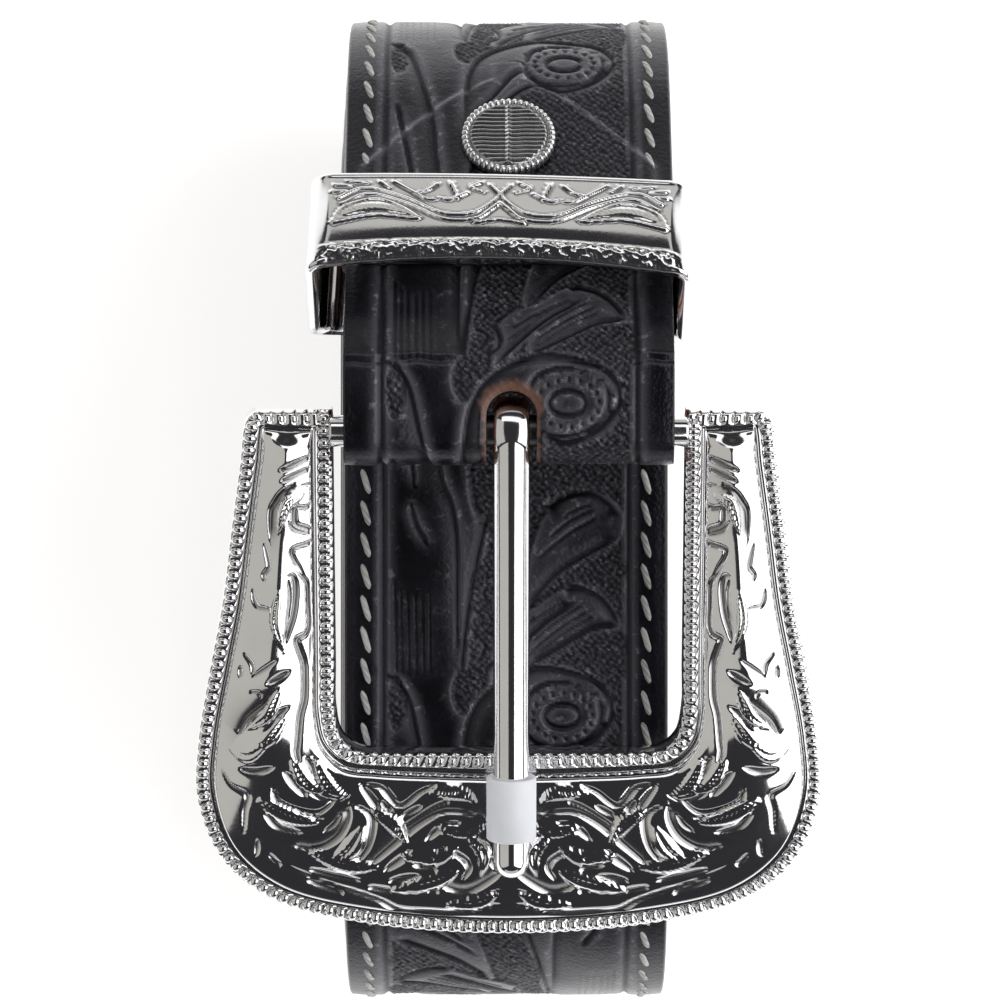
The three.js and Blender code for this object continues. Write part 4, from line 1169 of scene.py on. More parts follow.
# Raised leaves of the frame as height, half width and middle line.
FRAME_LEAVES = (
    (0.35, 0.9, [(31.9, 37.4), (29.8, 37.9), (27.1, 35.8)]),
    (0.4, 1.1, [(17, 46.9), (18.5, 49.5), (21, 51.1)]), (0.4, 0.9, [(4.5, 48), (2.9, 49.8), (3.2, 52.7)]),
    (0.35, 1.0, [(28.5, 43.4), (25.6, 45.2), (21.5, 46.2)]),
    (0.35, 0.9, [(13.4, 54.6), (8.6, 53.4), (5.4, 51.8)]),
    (0.35, 0.8, [(8.8, 42.4), (5.6, 42.6), (3.6, 43.6)]),
    (0.35, 0.9, [(15.6, 44.6), (13.2, 46.4), (11.6, 49.0)]),
    (0.35, 0.8, [(22.2, 38.9), (20.8, 41.6), (18.6, 43.0)]),
    (0.35, 0.9, [(24.8, 38.6), (23.4, 41.2), (21.0, 42.6)]),
    (0.3, 0.8, [(26.2, 30.2), (27.6, 33.0), (30.2, 35.0)]),
    (0.3, 0.8, [(25.6, 33.4), (27.6, 36.0), (30.4, 37.4)]),
    (0.3, 0.7, [(23.4, 7.0), (25.2, 8.2), (26.2, 11.6)]),
    (0.3, 0.7, [(26.2, 18.4), (26.6, 22.0), (25.6, 25.6)]),
    (0.35, 0.9, [(12.0, 50.2), (8.4, 50.4), (5.6, 49.0)]),
    (0.35, 0.9, [(22.6, 49.8), (18.6, 51.4), (14.6, 51.6)]),
    (0.3, 0.8, [(8.0, 46.6), (5.0, 47.2), (2.4, 46.4)]),
    (0.35, 0.8, [(7.0, 56.4), (3.6, 56.2), (1.0, 54.8)]),
)


@dataclass
class Buckle:
    """The bell-shaped frame with its milled borders and engraved scrolls, and its bar."""

    half_width: float = 36.3
    length: float = 60.9
    opening: float = 19.9
    opening_length: float = 38.4
    underside: float = 2.0
    crown: float = 3.3
    border: float = 1.9
    groove: float = 0.5
    bar_radius: float = 1.8
    rest_angle: float = -252.0
    clearance: float = 0.3
    bead_pitch: float = 1.36
    # Cuts in the bar that carry its painted shade.
    dark_bar: tuple[float, float] = (-4.0, 4.6)
    course: StrapCourse = COURSE

    def __post_init__(self) -> None:
        """Works out the outlines and the frame's tilt."""
        self.inner = EdgeCurve([(a * self.opening, b * self.opening_length, e * self.crown)
                                for a, b, _, _, e in SECTIONS])
        self.outer = EdgeCurve([(c * self.half_width, d * self.length, e * self.crown)
                                for _, _, c, d, e in SECTIONS])
        y = self.course.s.bar_y + self.course.s.flat / 2 - self.course.centre_y
        z = self.course.bar_z - self.course.centre_z
        reach = self.course.reach(self.rest_angle) + self.clearance + self.underside
        self.tilt = math.atan2(z, y) + math.acos(reach / math.hypot(y, z)) - math.pi / 2

    def place(self, points: Array) -> Array:
        """Moves points from the frame's own plane (across, along, out) to where it lies."""
        c, s = math.cos(self.tilt), math.sin(self.tilt)
        x, v, w = points[..., 0], points[..., 1], points[..., 2]
        y = self.course.s.bar_y - v * c - w * s
        return np.stack([x, y, self.course.bar_z - v * s + w * c], axis=-1)

    def build_plate(self) -> Object:
        """Builds the cast frame: crowned panel, grooves, milled borders and engraving."""
        fine = np.linspace(0.0, 1.0, 6000)
        middle = self.inner.at(fine) * 0.25 + self.outer.at(fine) * 0.75
        passed = travelled(middle)
        rows = 880
        share = np.interp(np.linspace(0.0, passed[-1], rows), passed, fine)
        inner, outer = self.inner.at(share), self.outer.at(share)
        across = outer[:, :2] - inner[:, :2]
        width = np.linalg.norm(across, axis=1)
        arc_in = travelled(inner)
        arc_out = travelled(outer)
        arc = np.minimum(arc_in, arc_in[-1] - arc_in), np.minimum(arc_out, arc_out[-1] - arc_out)
        whole = self.underside + (inner[:, 2] + outer[:, 2]) / 2
        fixed = np.array([0.0, 0.1, 0.24, 0.4, 0.6, 0.85, 1.1, 1.35, 1.6, 1.78, 1.9, 2.05, 2.2, 2.35, 2.5])
        middle_share = np.linspace(0.0, 1.0, 66)
        spread = width[:, None] - 2 * fixed[-1]
        d = np.concatenate([np.repeat(fixed[None, :-1], rows, axis=0),
                            fixed[-1] + spread * middle_share[None, :],
                            width[:, None] - fixed[-2::-1][None, :]], axis=1)
        x = inner[:, 0:1] + across[:, 0:1] * d / width[:, None]
        v = inner[:, 1:2] + across[:, 1:2] * d / width[:, None]
        height, painted_shade = self.top_height(d, width[:, None], whole[:, None], arc, x, v)
        top = np.stack([x, v, height - self.underside], axis=-1)
        sides, marks = [top], [painted_shade]
        low = np.zeros((rows, 1))
        walls = ((0.5, 0.0), (0.12, 0.0), (0.0, 0.35))
        for line, edge, way, steps in ((outer, height[:, -1:], -1, walls),
                                       (inner, height[:, :1], 1, walls[::-1])):
            for lift, tuck in steps:
                moved = line[:, :2] + way * across / width[:, None] * tuck
                sides.append(np.stack([moved[:, 0:1], moved[:, 1:2], lift * edge - self.underside], axis=-1))
                marks.append(low)
        grid = np.concatenate(sides, axis=1)
        points = self.place(grid).reshape(-1, 3)
        piece = new_mesh("buckle_plate", points, grid_faces(rows, grid.shape[1], closed=True),
                         Body.BUCKLE)
        # Painted shade in the engraved cuts, none on the sides.
        paint(piece, "painted_shade", np.concatenate(marks, axis=1).ravel())
        Strap.close_ends(piece, rows, grid.shape[1])
        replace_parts(piece, "buckle_frame")
        return piece

    def top_height(self, d: Array, width: Array, whole: Array, arc: tuple[Array, ...],
                   x: Array, v: Array) -> tuple[Array, Array]:
        """Height over the underside, and painted shade by how deep in a cut each place is.

        Args:
            d: Distance from the inner edge.
            width: The section's width.
            whole: The crown's height over the underside.
            arc: Distance from the post's end, along the inner and the outer edge.
            x: Across.
            v: Along.

        Returns:
            Heights, and painted shade from 0 to 1.
        """
        share = d / width
        from_end = arc[0][:, None] * (1 - share) + arc[1][:, None] * share
        edge = np.minimum(np.minimum(d, width - d), from_end * 0.92)
        panel = self.border + self.groove
        p = np.clip((d - panel) / np.maximum(width - 2 * panel, 0.1), 0.0, 1.0)
        broad = smooth(16.2, 21.0, width)
        power = 1.45 + 2.6 * broad
        arch = 0.66 + 0.34 * (1 - np.abs(2 * p - 1) ** power)
        reach = np.maximum(width / 2 - panel, 2.0)
        inward = np.minimum(p, 1 - p) * 2 * reach
        flat = 1 - ((reach - np.clip(inward, 1.4, reach)) / (reach - 1.4)) ** 2
        slope = np.where(p < 0.5, 0.76 + 0.135 * np.clip(inward, 0.0, 1.0),
                         0.84 + 0.055 * np.clip(inward / 1.4, 0, 1))
        arch = arch * (1 - broad) + broad * (slope + 0.105 * flat)
        end_rise = smooth(panel, panel + 2.2, from_end)
        arch = 0.62 + (arch - 0.62) * end_rise
        rim = 0.42 + 0.20 * np.sqrt(np.clip(1 - (1 - np.clip(edge / 0.45, 0, 1)) ** 2, 0, 1))
        groove = 0.62 - 0.16 * np.exp(-(((edge - 2.15) / 0.24) ** 2))
        shape = np.where(edge < 1.75, rim, groove)
        lift = smooth(2.2, 2.75, edge)
        shape = shape * (1 - lift) + arch * lift
        height = shape * whole
        relief = Relief(np.abs(x), v)
        for stroke in ENGRAVING:
            relief.cut(curve(list(stroke.points)), stroke.depth, 1.2 * stroke.width, stroke.bevel, 0.9, 0.75)
        for rise, half, line in FRAME_LEAVES:
            relief.leaf(curve(line), rise, half)
        carved = relief.height * smooth(2.3, 3.0, edge)
        beading = smooth(0.0, 0.12, edge) * smooth(1.8, 1.55, edge)
        along = np.where(share < 0.5, arc[0][:, None] + 0 * d, arc[1][:, None] + 0 * d)
        along = np.where(from_end * 0.92 <= np.minimum(d, width - d), d, along)
        rib = np.abs(np.sin(math.pi * along / self.bead_pitch))
        height = height - beading * 0.45 * (1 - rib) ** 1.3
        return height + carved, np.clip(-carved / 0.35, 0.0, 1.0)

    def build_beads(self) -> Object:
        """Sets the milled beads along both borders and over the posts' ends."""
        centres = []
        for edge, other, inset, radius in ((self.inner, self.outer, 1.0, 0.56),
                                           (self.outer, self.inner, 1.05, 0.60)):
            fine = np.linspace(0.0, 1.0, 4000)
            line, far = edge.at(fine), other.at(fine)
            way = far[:, :2] - line[:, :2]
            width = np.linalg.norm(way, axis=1, keepdims=True)
            line[:, :2] += way / width * inset
            whole = self.underside + line[:, 2]
            passed = travelled(line)
            for distance in np.arange(1.0, passed[-1] - 0.9, self.bead_pitch):
                i = int(np.searchsorted(passed, distance))
                turn = math.atan2(line[i, 1] - line[i - 1, 1], line[i, 0] - line[i - 1, 0])
                centres.append((line[i, 0], line[i, 1], 0.60 * whole[i] - self.underside, radius, turn))
        for side in (-1, 1):
            share = np.array([0.0 if side < 0 else 1.0])
            a, b = self.inner.at(share)[0], self.outer.at(share)[0]
            count = int(np.linalg.norm(b - a) / self.bead_pitch)
            for k in range(1, count):
                p = a + (b - a) * k / count
                p[1] += 0.95
                centres.append((p[0], p[1], 0.60 * (self.underside + p[2]) - self.underside, 0.56, 0.0))
        bpy.ops.object.select_all(action="DESELECT")
        bpy.ops.mesh.primitive_uv_sphere_add(segments=10, ring_count=6, radius=1.0, location=(0, 0, 0))
        seed = bpy.context.object
        base = np.zeros(len(seed.data.vertices) * 3)
        seed.data.vertices.foreach_get("co", base)
        base = base.reshape(-1, 3)
        polygons = [tuple(p.vertices) for p in seed.data.polygons]
        bpy.data.objects.remove(seed, do_unlink=True)
        points, faces = [], []
        for x, v, w, radius, turn in centres:
            c, s = math.cos(turn), math.sin(turn)
            shape = base * (0.92 * radius, 1.25 * radius, 0.85 * radius)
            moved = np.column_stack([x + shape[:, 0] * c - shape[:, 1] * s,
                                     v + shape[:, 0] * s + shape[:, 1] * c, w + shape[:, 2]])
            offset = len(points) * len(base)
            points.append(moved)
            faces += [tuple(i + offset for i in p) for p in polygons]
        mesh = bpy.data.meshes.new("buckle_beads")
        mesh.from_pydata((self.place(np.vstack(points)) * MM).tolist(), [], faces)
        mesh.polygons.foreach_set("use_smooth", np.ones(len(faces), dtype=bool))
        piece = bpy.data.objects.new("buckle_beads", mesh)
        bpy.context.scene.collection.objects.link(piece)
        fix_normals(piece)
        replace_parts(settle(piece, Body.BUCKLE), "buckle_frame")
        return piece

    def build_bar(self) -> Object:
        """Builds the round bar that the strap and prong turn on."""
        reach = self.opening + 0.4
        bpy.ops.object.select_all(action="DESELECT")
        bpy.ops.mesh.primitive_cylinder_add(vertices=40, radius=self.bar_radius * MM, depth=2 * reach * MM,
                                            location=(0, self.course.s.bar_y * MM, self.course.bar_z * MM),
                                            rotation=(0, math.pi / 2, 0))
        piece = bpy.context.object
        piece.name = "buckle_bar"
        bevel = piece.modifiers.new("edge", "BEVEL")
        bevel.width, bevel.segments, bevel.limit_method = 0.3 * MM, 3, "ANGLE"
        bpy.ops.object.modifier_apply(modifier=bevel.name)
        bpy.ops.object.transform_apply(location=True, rotation=True, scale=True)
        with reshaping(piece, outwards=False) as work:
            for x in self.dark_bar:
                bmesh.ops.bisect_plane(work, geom=work.verts[:] + work.edges[:] + work.faces[:],
                                       plane_co=(x * MM, 0, 0), plane_no=(1, 0, 0))
        # Painted shade on the middle of the bar, where the strap over it shades it.
        shaded = [float(abs(v.co.x) < 6.0 * MM) for v in piece.data.vertices]
        paint(piece, "painted_shade", 1.3 * np.array(shaded))
        bpy.ops.object.shade_smooth_by_angle(angle=math.radians(40))
        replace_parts(settle(piece, Body.BUCKLE), "buckle_frame")
        return piece


@dataclass
class Prong:
    """The prong, whose eye turns on the bar, and its clear sleeve."""

    radius: float = 2.05
    offset: float = 0.3
    step: float = 1.9
    length: float = 51.6
    eye_wall: float = 1.8
    sleeve_wall: float = 0.5
    sleeve_length: float = 7.3
    sleeve_to_tip: float = 4.6
    clearance: float = 0.3
    scroll_rise: float = 0.35

    def tilt(self, buckle: Buckle) -> float:
        """How far the prong leans out of the frame's plane."""
        middle = self.length - self.sleeve_to_tip - self.sleeve_length / 2
        outer = self.radius + self.clearance + self.sleeve_wall
        return math.atan((buckle.crown + self.scroll_rise + self.clearance + outer - self.step) / middle)

    def place(self, buckle: Buckle, points: Array) -> Array:
        """Moves points (across, along, out) of the prong to where it lies."""
        t = self.tilt(buckle)
        c, s = math.cos(t), math.sin(t)
        x, v, w = points[:, 0] + self.offset, points[:, 1], points[:, 2]
        return buckle.place(np.column_stack([x, v * c - w * s, v * s + w * c]))

    def turned(self, name: str, slot: Slot, profile: list[tuple[float, float]],
               buckle: Buckle) -> Object:
        """Round piece along the prong.

        Args:
            name: The piece's name.
            slot: Its material slot; not used.
            profile: Rows of radius and distance along.
            buckle: The frame that it lies on.

        Returns:
            The piece.
        """
        sides = 48
        angle = np.linspace(0, 2 * math.pi, sides, endpoint=False)
        rows = np.array([[(r * math.cos(a), v, self.step + r * math.sin(a)) for a in angle]
                         for r, v in profile])
        points = self.place(buckle, rows.reshape(-1, 3))
        piece = new_mesh(name, points, grid_faces(len(profile), sides, closed=True), Body.PRONG)
        with reshaping(piece) as work:
            bmesh.ops.remove_doubles(work, verts=work.verts, dist=1e-6)
        return piece

    def build(self, buckle: Buckle) -> list[Object]:
        """Builds the rod, its eye and its sleeve.

        Args:
            buckle: The frame that they lie on.

        Returns:
            The pieces.
        """
        r, tip = self.radius, self.length
        rod = [(0.0, -0.6), (0.8, -0.5), (1.5, -0.2), (r * 0.93, 0.3), (r, 1.2), (r, 12.0), (r, 40.0)]
        rod += [(r * math.cos(a), tip - r + r * math.sin(a)) for a in np.linspace(0, math.pi / 2, 10)]
        pieces = [self.turned("prong_rod", Slot.METAL, rod, buckle), self.build_eye(buckle)]
        for piece in pieces:
            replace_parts(piece, "prong")
        inner, outer = r + self.clearance, r + self.clearance + self.sleeve_wall
        end = tip - self.sleeve_to_tip
        start = end - self.sleeve_length
        lip = 0.14
        profile = [(inner, start + lip), (inner + lip, start), (outer - lip, start), (outer, start + lip),
                   (outer, (start + end) / 2), (outer, end - lip), (outer - lip, end), (inner + lip, end),
                   (inner, end - lip), (inner, (start + end) / 2), (inner, start + lip)]
        sleeve = self.turned("sleeve_tube", Slot.SLEEVE, profile, buckle)
        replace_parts(sleeve, "prong_sleeve")
        return [*pieces, sleeve]

    def build_eye(self, buckle: Buckle) -> Object:
        """Builds the eye as a rounded ring round the bar."""
        inner = buckle.course.s.bar_inner
        outer = inner + self.eye_wall
        middle, thick = (inner + outer) / 2, self.eye_wall / 2
        section = [(self.radius * math.cos(a) * 0.98,
                    middle + thick * math.copysign(abs(math.sin(a)) ** 0.8, math.sin(a)))
                   for a in np.linspace(math.pi, -math.pi, 20, endpoint=False)]
        around = 72
        angle = np.linspace(0, 2 * math.pi, around, endpoint=False)
        rows = np.array([[(x, rr * math.cos(a), rr * math.sin(a)) for x, rr in section] for a in angle])
        points = self.place(buckle, rows.reshape(-1, 3))
        count = len(section)
        i, j = np.meshgrid(np.arange(around), np.arange(count), indexing="ij")
        k, m = (i + 1) % around, (j + 1) % count
        faces = np.stack([i * count + j, i * count + m, k * count + m, k * count + j], axis=-1).reshape(-1, 4)
        piece = new_mesh("prong_eye", points, faces, Body.PRONG)
        fix_normals(piece)
        return piece


# Raised scrolls of the keeper, for one half; the other mirrors them.
KEEPER_SCROLLS = (
    [(18.3, -2.4), (15.4, -3.9), (11.1, -2.6), (6.5, -0.2), (3.0, -0.3), (0.7, -2.0), (0.0, -3.1)],
    [(17.8, -1.5), (14.8, -3.0), (10.4, -1.5), (6.2, 0.7), (2.6, 0.5), (0.4, -1.4)], [(0.0, -3.1),
    (1.2, -4.6)], [(0.0, -1.8), (1.2, -0.6), (2.8, 1.2), (1.4, 0.9), (0.0, 0.7)], [(18.8, 1.2),
    (17.7, -0.9), (14.2, -2.2), (11.1, -1.0), (9.0, 0.6)], [(18.3, 1.1), (14.0, 0.2), (9.6, 0.7)],
    [(17.4, 0.2), (14.2, -0.9), (11.2, 0.0)], [(5.6, -4.8), (5.1, -3.4), (4.7, -2.3)], [(7.2, -4.6),
    (8.2, -3.6), (9.8, -3.1)], [(2.2, -4.9), (3.3, -4.1), (1.8, -3.4)], [(3.8, -3.2), (5.6, -2.2),
    (6.8, -2.4)], [(17.2, -5.0), (15.0, -4.7)], [(18.7, -4.4), (16.6, -4.2)], [(18.9, -3.4), (17.4, -3.4)],
    [(12.0, -4.9), (10.6, -3.8), (8.6, -2.4), (7.2, -2.2)], [(13.6, -4.9), (12.6, -3.9)],
)


@dataclass
class Keeper:
    """The metal loop with its crowned and engraved plate."""

    width: float = 43.5
    length: float = 13.0
    depth: float = 13.7
    wall: float = 1.4
    stand: float = 4.3
    foot: float = 4.0
    crown: float = 0.5
    corner: float = 2.2
    turn: float = math.radians(1.6)
    along: float = 22.6
    course: StrapCourse = COURSE

    def place(self, points: Array) -> Array:
        """Moves points (across, out of the strap, up the ridge) to where the keeper sits."""
        y0, z0, _, _ = self.course.ridge(self.along, 0.0)
        n, w = self.course.normal, self.course.way
        shift = self.course.s.width / 2 + self.course.s.gap - (self.width / 2 - self.wall)
        c, s = math.cos(self.turn), math.sin(self.turn)
        x, out, up = points[..., 0] * c - points[..., 2] * s + shift, points[..., 1], points[..., 2]
        up = up * c + points[..., 0] * s
        return np.stack([x, y0 + n[0] * out + w[0] * up, z0 + n[1] * out + w[1] * up], axis=-1)

    def profile(self) -> tuple[Array, Array]:
        """Outer line of the loop from foot to foot, and the way out at each point."""
        half, top = self.width / 2, self.stand + self.wall
        bottom = top - self.depth
        soft = 0.9
        line = [(-half + self.foot, bottom), (-half + soft, bottom),
                (-half + 0.26 * soft, bottom + 0.26 * soft), (-half, bottom + soft)]
        line += [(-half, y) for y in np.linspace(bottom + 1.6, top - self.corner, 8)]
        for a in np.linspace(10, 80, 8):
            r = math.radians(a)
            line.append((-half + self.corner * (1 - math.cos(r)), top - self.corner * (1 - math.sin(r))))
        inside = half - self.corner
        for x in np.linspace(-inside, 0.0, 84):
            line.append((x, top + self.crown * (1 - (x / inside) ** 2)))
        left = np.array(line)
        whole = np.vstack([left, left[:-1][::-1] * (-1, 1)])
        way = np.gradient(whole, axis=0)
        way /= np.linalg.norm(way, axis=1, keepdims=True)
        return whole, np.column_stack([-way[:, 1], way[:, 0]])

    def ornament(self, x: Array, z: Array) -> Array:
        """Raised scrolls over the plate; the two halves mirror each other.

        Args:
            x: Across.
            z: Up the ridge, towards the buckle.

        Returns:
            Heights over the plain plate.
        """
        relief = Relief(np.abs(x), z)
        for line in KEEPER_SCROLLS:
            relief.raise_line(curve(line), 0.26, 0.3, 0.35)
        end = self.length / 2
        lip = smooth(end - 2.5, end - 2.1, z)
        rough = 0.11 * ripple(x, z, 1.0, 0.4) + 0.10 * ripple(x, z, 0.7, 1.9)
        upper = smooth(-end + 0.9, -end + 0.6, z)
        crown = 0.55 * (1 - (z / end) ** 2)
        lower = -0.45 * smooth(end - 1.6, end, z)
        relief.leaf(curve([(18.6, 1.2), (16.6, -0.5), (13.8, -0.9), (11.0, -0.3), (8.8, 1.0)]), 0.3, 1.0, 0.0)
        return relief.height + crown + lip * (0.12 + rough) + 0.16 * upper + lower

    def build(self) -> Object:
        """Builds the loop."""
        line, out = self.profile()
        z = np.linspace(-self.length / 2, self.length / 2, 74)
        soft = np.clip(1 - (self.length / 2 - np.abs(z)) / 0.35, 0, 1) ** 2 * 0.3
        x, zz = np.meshgrid(line[:, 0], z, indexing="ij")
        arch = np.where(line[:, 1:2] > self.stand - 1.0, 1.4 * (1 - (x / 20.6) ** 2).clip(0.0), 0.0)
        plate = smooth(self.width / 2 - 1.2, self.width / 2 - 2.8, np.abs(x)) * (line[:, 1:2] > 0)
        rise = self.ornament(x, zz) * plate - soft[None, :]
        zz = zz - arch * smooth(0.0, self.length / 2, zz)
        outer = np.stack([x + out[:, 0:1] * rise, line[:, 1:2] + out[:, 1:2] * rise, zz], axis=-1)
        back = -self.wall + soft[None, :] + 0 * rise
        inner = np.stack([x + out[:, 0:1] * back, line[:, 1:2] + out[:, 1:2] * back, zz], axis=-1)
        rows, columns = x.shape
        count = rows * columns
        first = grid_faces(rows, columns)
        second = first[:, ::-1] + count
        i = np.arange(rows - 1) * columns
        low = np.column_stack([i, i + columns, i + columns + count, i + count])
        high = low[:, ::-1] + columns - 1
        j = np.arange(columns - 1)
        start = np.column_stack([j, j + count, j + 1 + count, j + 1])
        end = start[:, ::-1] + (rows - 1) * columns
        points = self.place(np.concatenate([outer.reshape(-1, 3), inner.reshape(-1, 3)]))
        piece = new_mesh("keeper_loop", points, np.vstack([first, second, low, high, start, end]),
                         Body.KEEPER)
        # Painted shade in the hollows between the plate's raised scrolls.
        around = sum(np.roll(rise, shift, axis) for shift in (2, -2) for axis in (0, 1)) / 4
        depth = np.clip((around - rise) / 0.08, 0.0, 1.0) * plate
        paint(piece, "painted_shade", np.concatenate([depth.ravel(), np.zeros(count)]))
        fix_normals(piece)
        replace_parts(piece, "keeper")
        return piece


@dataclass
class Snap:
    """The round cap with its milled rim and rippled face."""

    radius: float = 5.6
    base: float = 0.3
    rim: float = 0.6
    height: float = 2.0
    ribs: int = 46
    sides: int = 230
    along: float = 6.2
    course: StrapCourse = COURSE

    def build(self) -> Object:
        """Builds the cap."""
        y0, z0, _, _ = self.course.ridge(self.along, 0.0)
        n, w = self.course.normal, self.course.way
        radii = np.concatenate([np.linspace(0.001, 4.5, 46),
                                [4.62, 4.74, 4.9, 5.1, 5.3, 5.46, 5.56, 5.6, 5.6]])
        angle = np.linspace(0, 2 * math.pi, self.sides, endpoint=False)
        r, a = np.meshgrid(radii, angle, indexing="ij")
        across, up = r * np.cos(a), r * np.sin(a)
        dome = np.cos(np.clip(r / 6.2, 0, 1) * 1.45)
        flat = smooth(4.75, 4.3, r)
        dome = dome * (1 - flat) + flat * (0.44 + 0.12 * dome)
        dome = self.base + self.rim + (self.height - self.base - self.rim) * dome
        dip = 0.22 * np.clip(1.0 - np.abs(across) / 0.4, 0.0, 1.0)
        bend = dip - 0.025 * np.sin(across * 2.6) - 0.05 * np.cos(across * 0.9)
        ridge = np.sin(2 * math.pi * (up + bend) / 0.6)
        face = smooth(4.5, 4.3, r) * 0.17 * ridge
        ditch = -0.32 * np.exp(-(((r - 4.6) / 0.16) ** 2))
        rib = np.abs(np.sin(self.ribs * a / 2))
        milled = smooth(4.68, 4.8, r) * (0.28 * rib - 0.05)
        side = np.clip((r - 5.2) / 0.4, 0, 1)
        out = dome + face + ditch + milled - 0.55 * side**2
        out[-1, :] = 0.02 + self.base
        stretch = 1 - 0.015 * (1 - rib) * smooth(5.3, 5.6, r)
        points = np.stack([across * stretch, y0 + n[0] * out + w[0] * up * stretch,
                           z0 + n[1] * out + w[1] * up * stretch], axis=-1)
        piece = new_mesh("snap_face", points.reshape(-1, 3), grid_faces(len(radii), self.sides, closed=True),
                         Body.STRAP)
        # Painted shade on the rippled face, in the ditch and between the milled ribs; the crests stay bright.
        dark = smooth(4.5, 4.3, r) * np.clip(1.1 - 0.75 * ridge, 0.0, 1.3) - ditch * 3
        dark = dark + 1.1 * smooth(4.68, 4.8, r) * (1 - rib)
        paint(piece, "painted_shade", np.clip(dark, 0.0, 1.3).ravel())
        with reshaping(piece) as work:
            last = (len(radii) - 1) * self.sides
            work.faces.new([work.verts[last + k] for k in range(self.sides)])
            work.faces.new([work.verts[k] for k in range(self.sides)])
        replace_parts(piece, "snap_cap")
        return piece


class Nodes:
    """Short way to build a node tree."""

    def __init__(self, tree: NodeTree) -> None:
        """Keeps the tree."""
        self.tree = tree
        self.count = 0

    def add(self, kind: str, **values: object) -> Node:
        """Adds a node.

        Args:
            kind: Its type.
            values: Properties, or inputs by name with spaces as underscores.

        Returns:
            The node.
        """
        node = self.tree.nodes.new(kind)
        self.count += 1
        node.location = (220 * (self.count % 8), -240 * (self.count // 8))
        for key, value in values.items():
            name = key.replace("_", " ")
            if hasattr(node, key):
                setattr(node, key, value)
            elif isinstance(value, NodeSocket):
                self.tree.links.new(value, node.inputs[name])
            else:
                node.inputs[name].default_value = value
        return node

    def link(self, source: NodeSocket, target: NodeSocket) -> None:
        """Links two sockets."""
        self.tree.links.new(source, target)

    def math(self, operation: str, a: object, b: object) -> NodeSocket:
        """Adds a sum of two values or sockets."""
        node = self.add("ShaderNodeMath", operation=operation)
        for socket, value in zip(node.inputs, (a, b)):
            if isinstance(value, NodeSocket):
                self.link(value, socket)
            else:
                socket.default_value = value
        return node.outputs[0]

    def mix(self, factor: NodeSocket, one: object, two: object) -> NodeSocket:
        """Adds a mix of two colours or colour sockets."""
        node = self.add("ShaderNodeMix", data_type="RGBA")
        self.link(factor, node.inputs[0])
        for socket, value in ((node.inputs[6], one), (node.inputs[7], two)):
            if isinstance(value, NodeSocket):
                self.link(value, socket)
            else:
                socket.default_value = (*value, 1.0)
        return node.outputs[2]

    def bump(self, shader: Node, strength: float, distance: float,
             height: NodeSocket) -> None:
        """Bumps the surface of a shader.

        Args:
            shader: The shader.
            strength: Share of the bump that shows.
            distance: Depth of the bump, metres.
            height: Where it stands high.
        """
        node = self.add("ShaderNodeBump", Strength=strength, Distance=distance, Height=height)
        self.link(node.outputs["Normal"], shader.inputs["Normal"])

    def attribute(self, name: str) -> NodeSocket:
        """Reads a painted value."""
        return self.add("ShaderNodeAttribute", attribute_name=name).outputs["Fac"]

    def spread(self, value: NodeSocket, low: float, high: float, to_low: float = 0.0,
               to_high: float = 1.0) -> NodeSocket:
        """Stretches a range of values to another, clamped."""
        node = self.add("ShaderNodeMapRange", clamp=True)
        self.link(value, node.inputs["Value"])
        for name, number in (("From Min", low), ("From Max", high), ("To Min", to_low), ("To Max", to_high)):
            node.inputs[name].default_value = number
        return node.outputs["Result"]


def new_group(name: str, inputs: dict[str, float],
              outputs: tuple[str, ...]) -> tuple[NodeTree, Nodes]:
    """Starts a shader node group.

    Args:
        name: Its name.
        inputs: Names and values of its number inputs, beside the vector "Place".
        outputs: Names of its number outputs.

    Returns:
        The group and its builder.
    """
    group = bpy.data.node_groups.new(name, "ShaderNodeTree")
    group.interface.new_socket("Place", in_out="INPUT", socket_type="NodeSocketVector")
    for key, value in inputs.items():
        socket = group.interface.new_socket(key, in_out="INPUT", socket_type="NodeSocketFloat")
        socket.default_value = value
    for key in outputs:
        group.interface.new_socket(key, in_out="OUTPUT", socket_type="NodeSocketFloat")
    return group, Nodes(group)


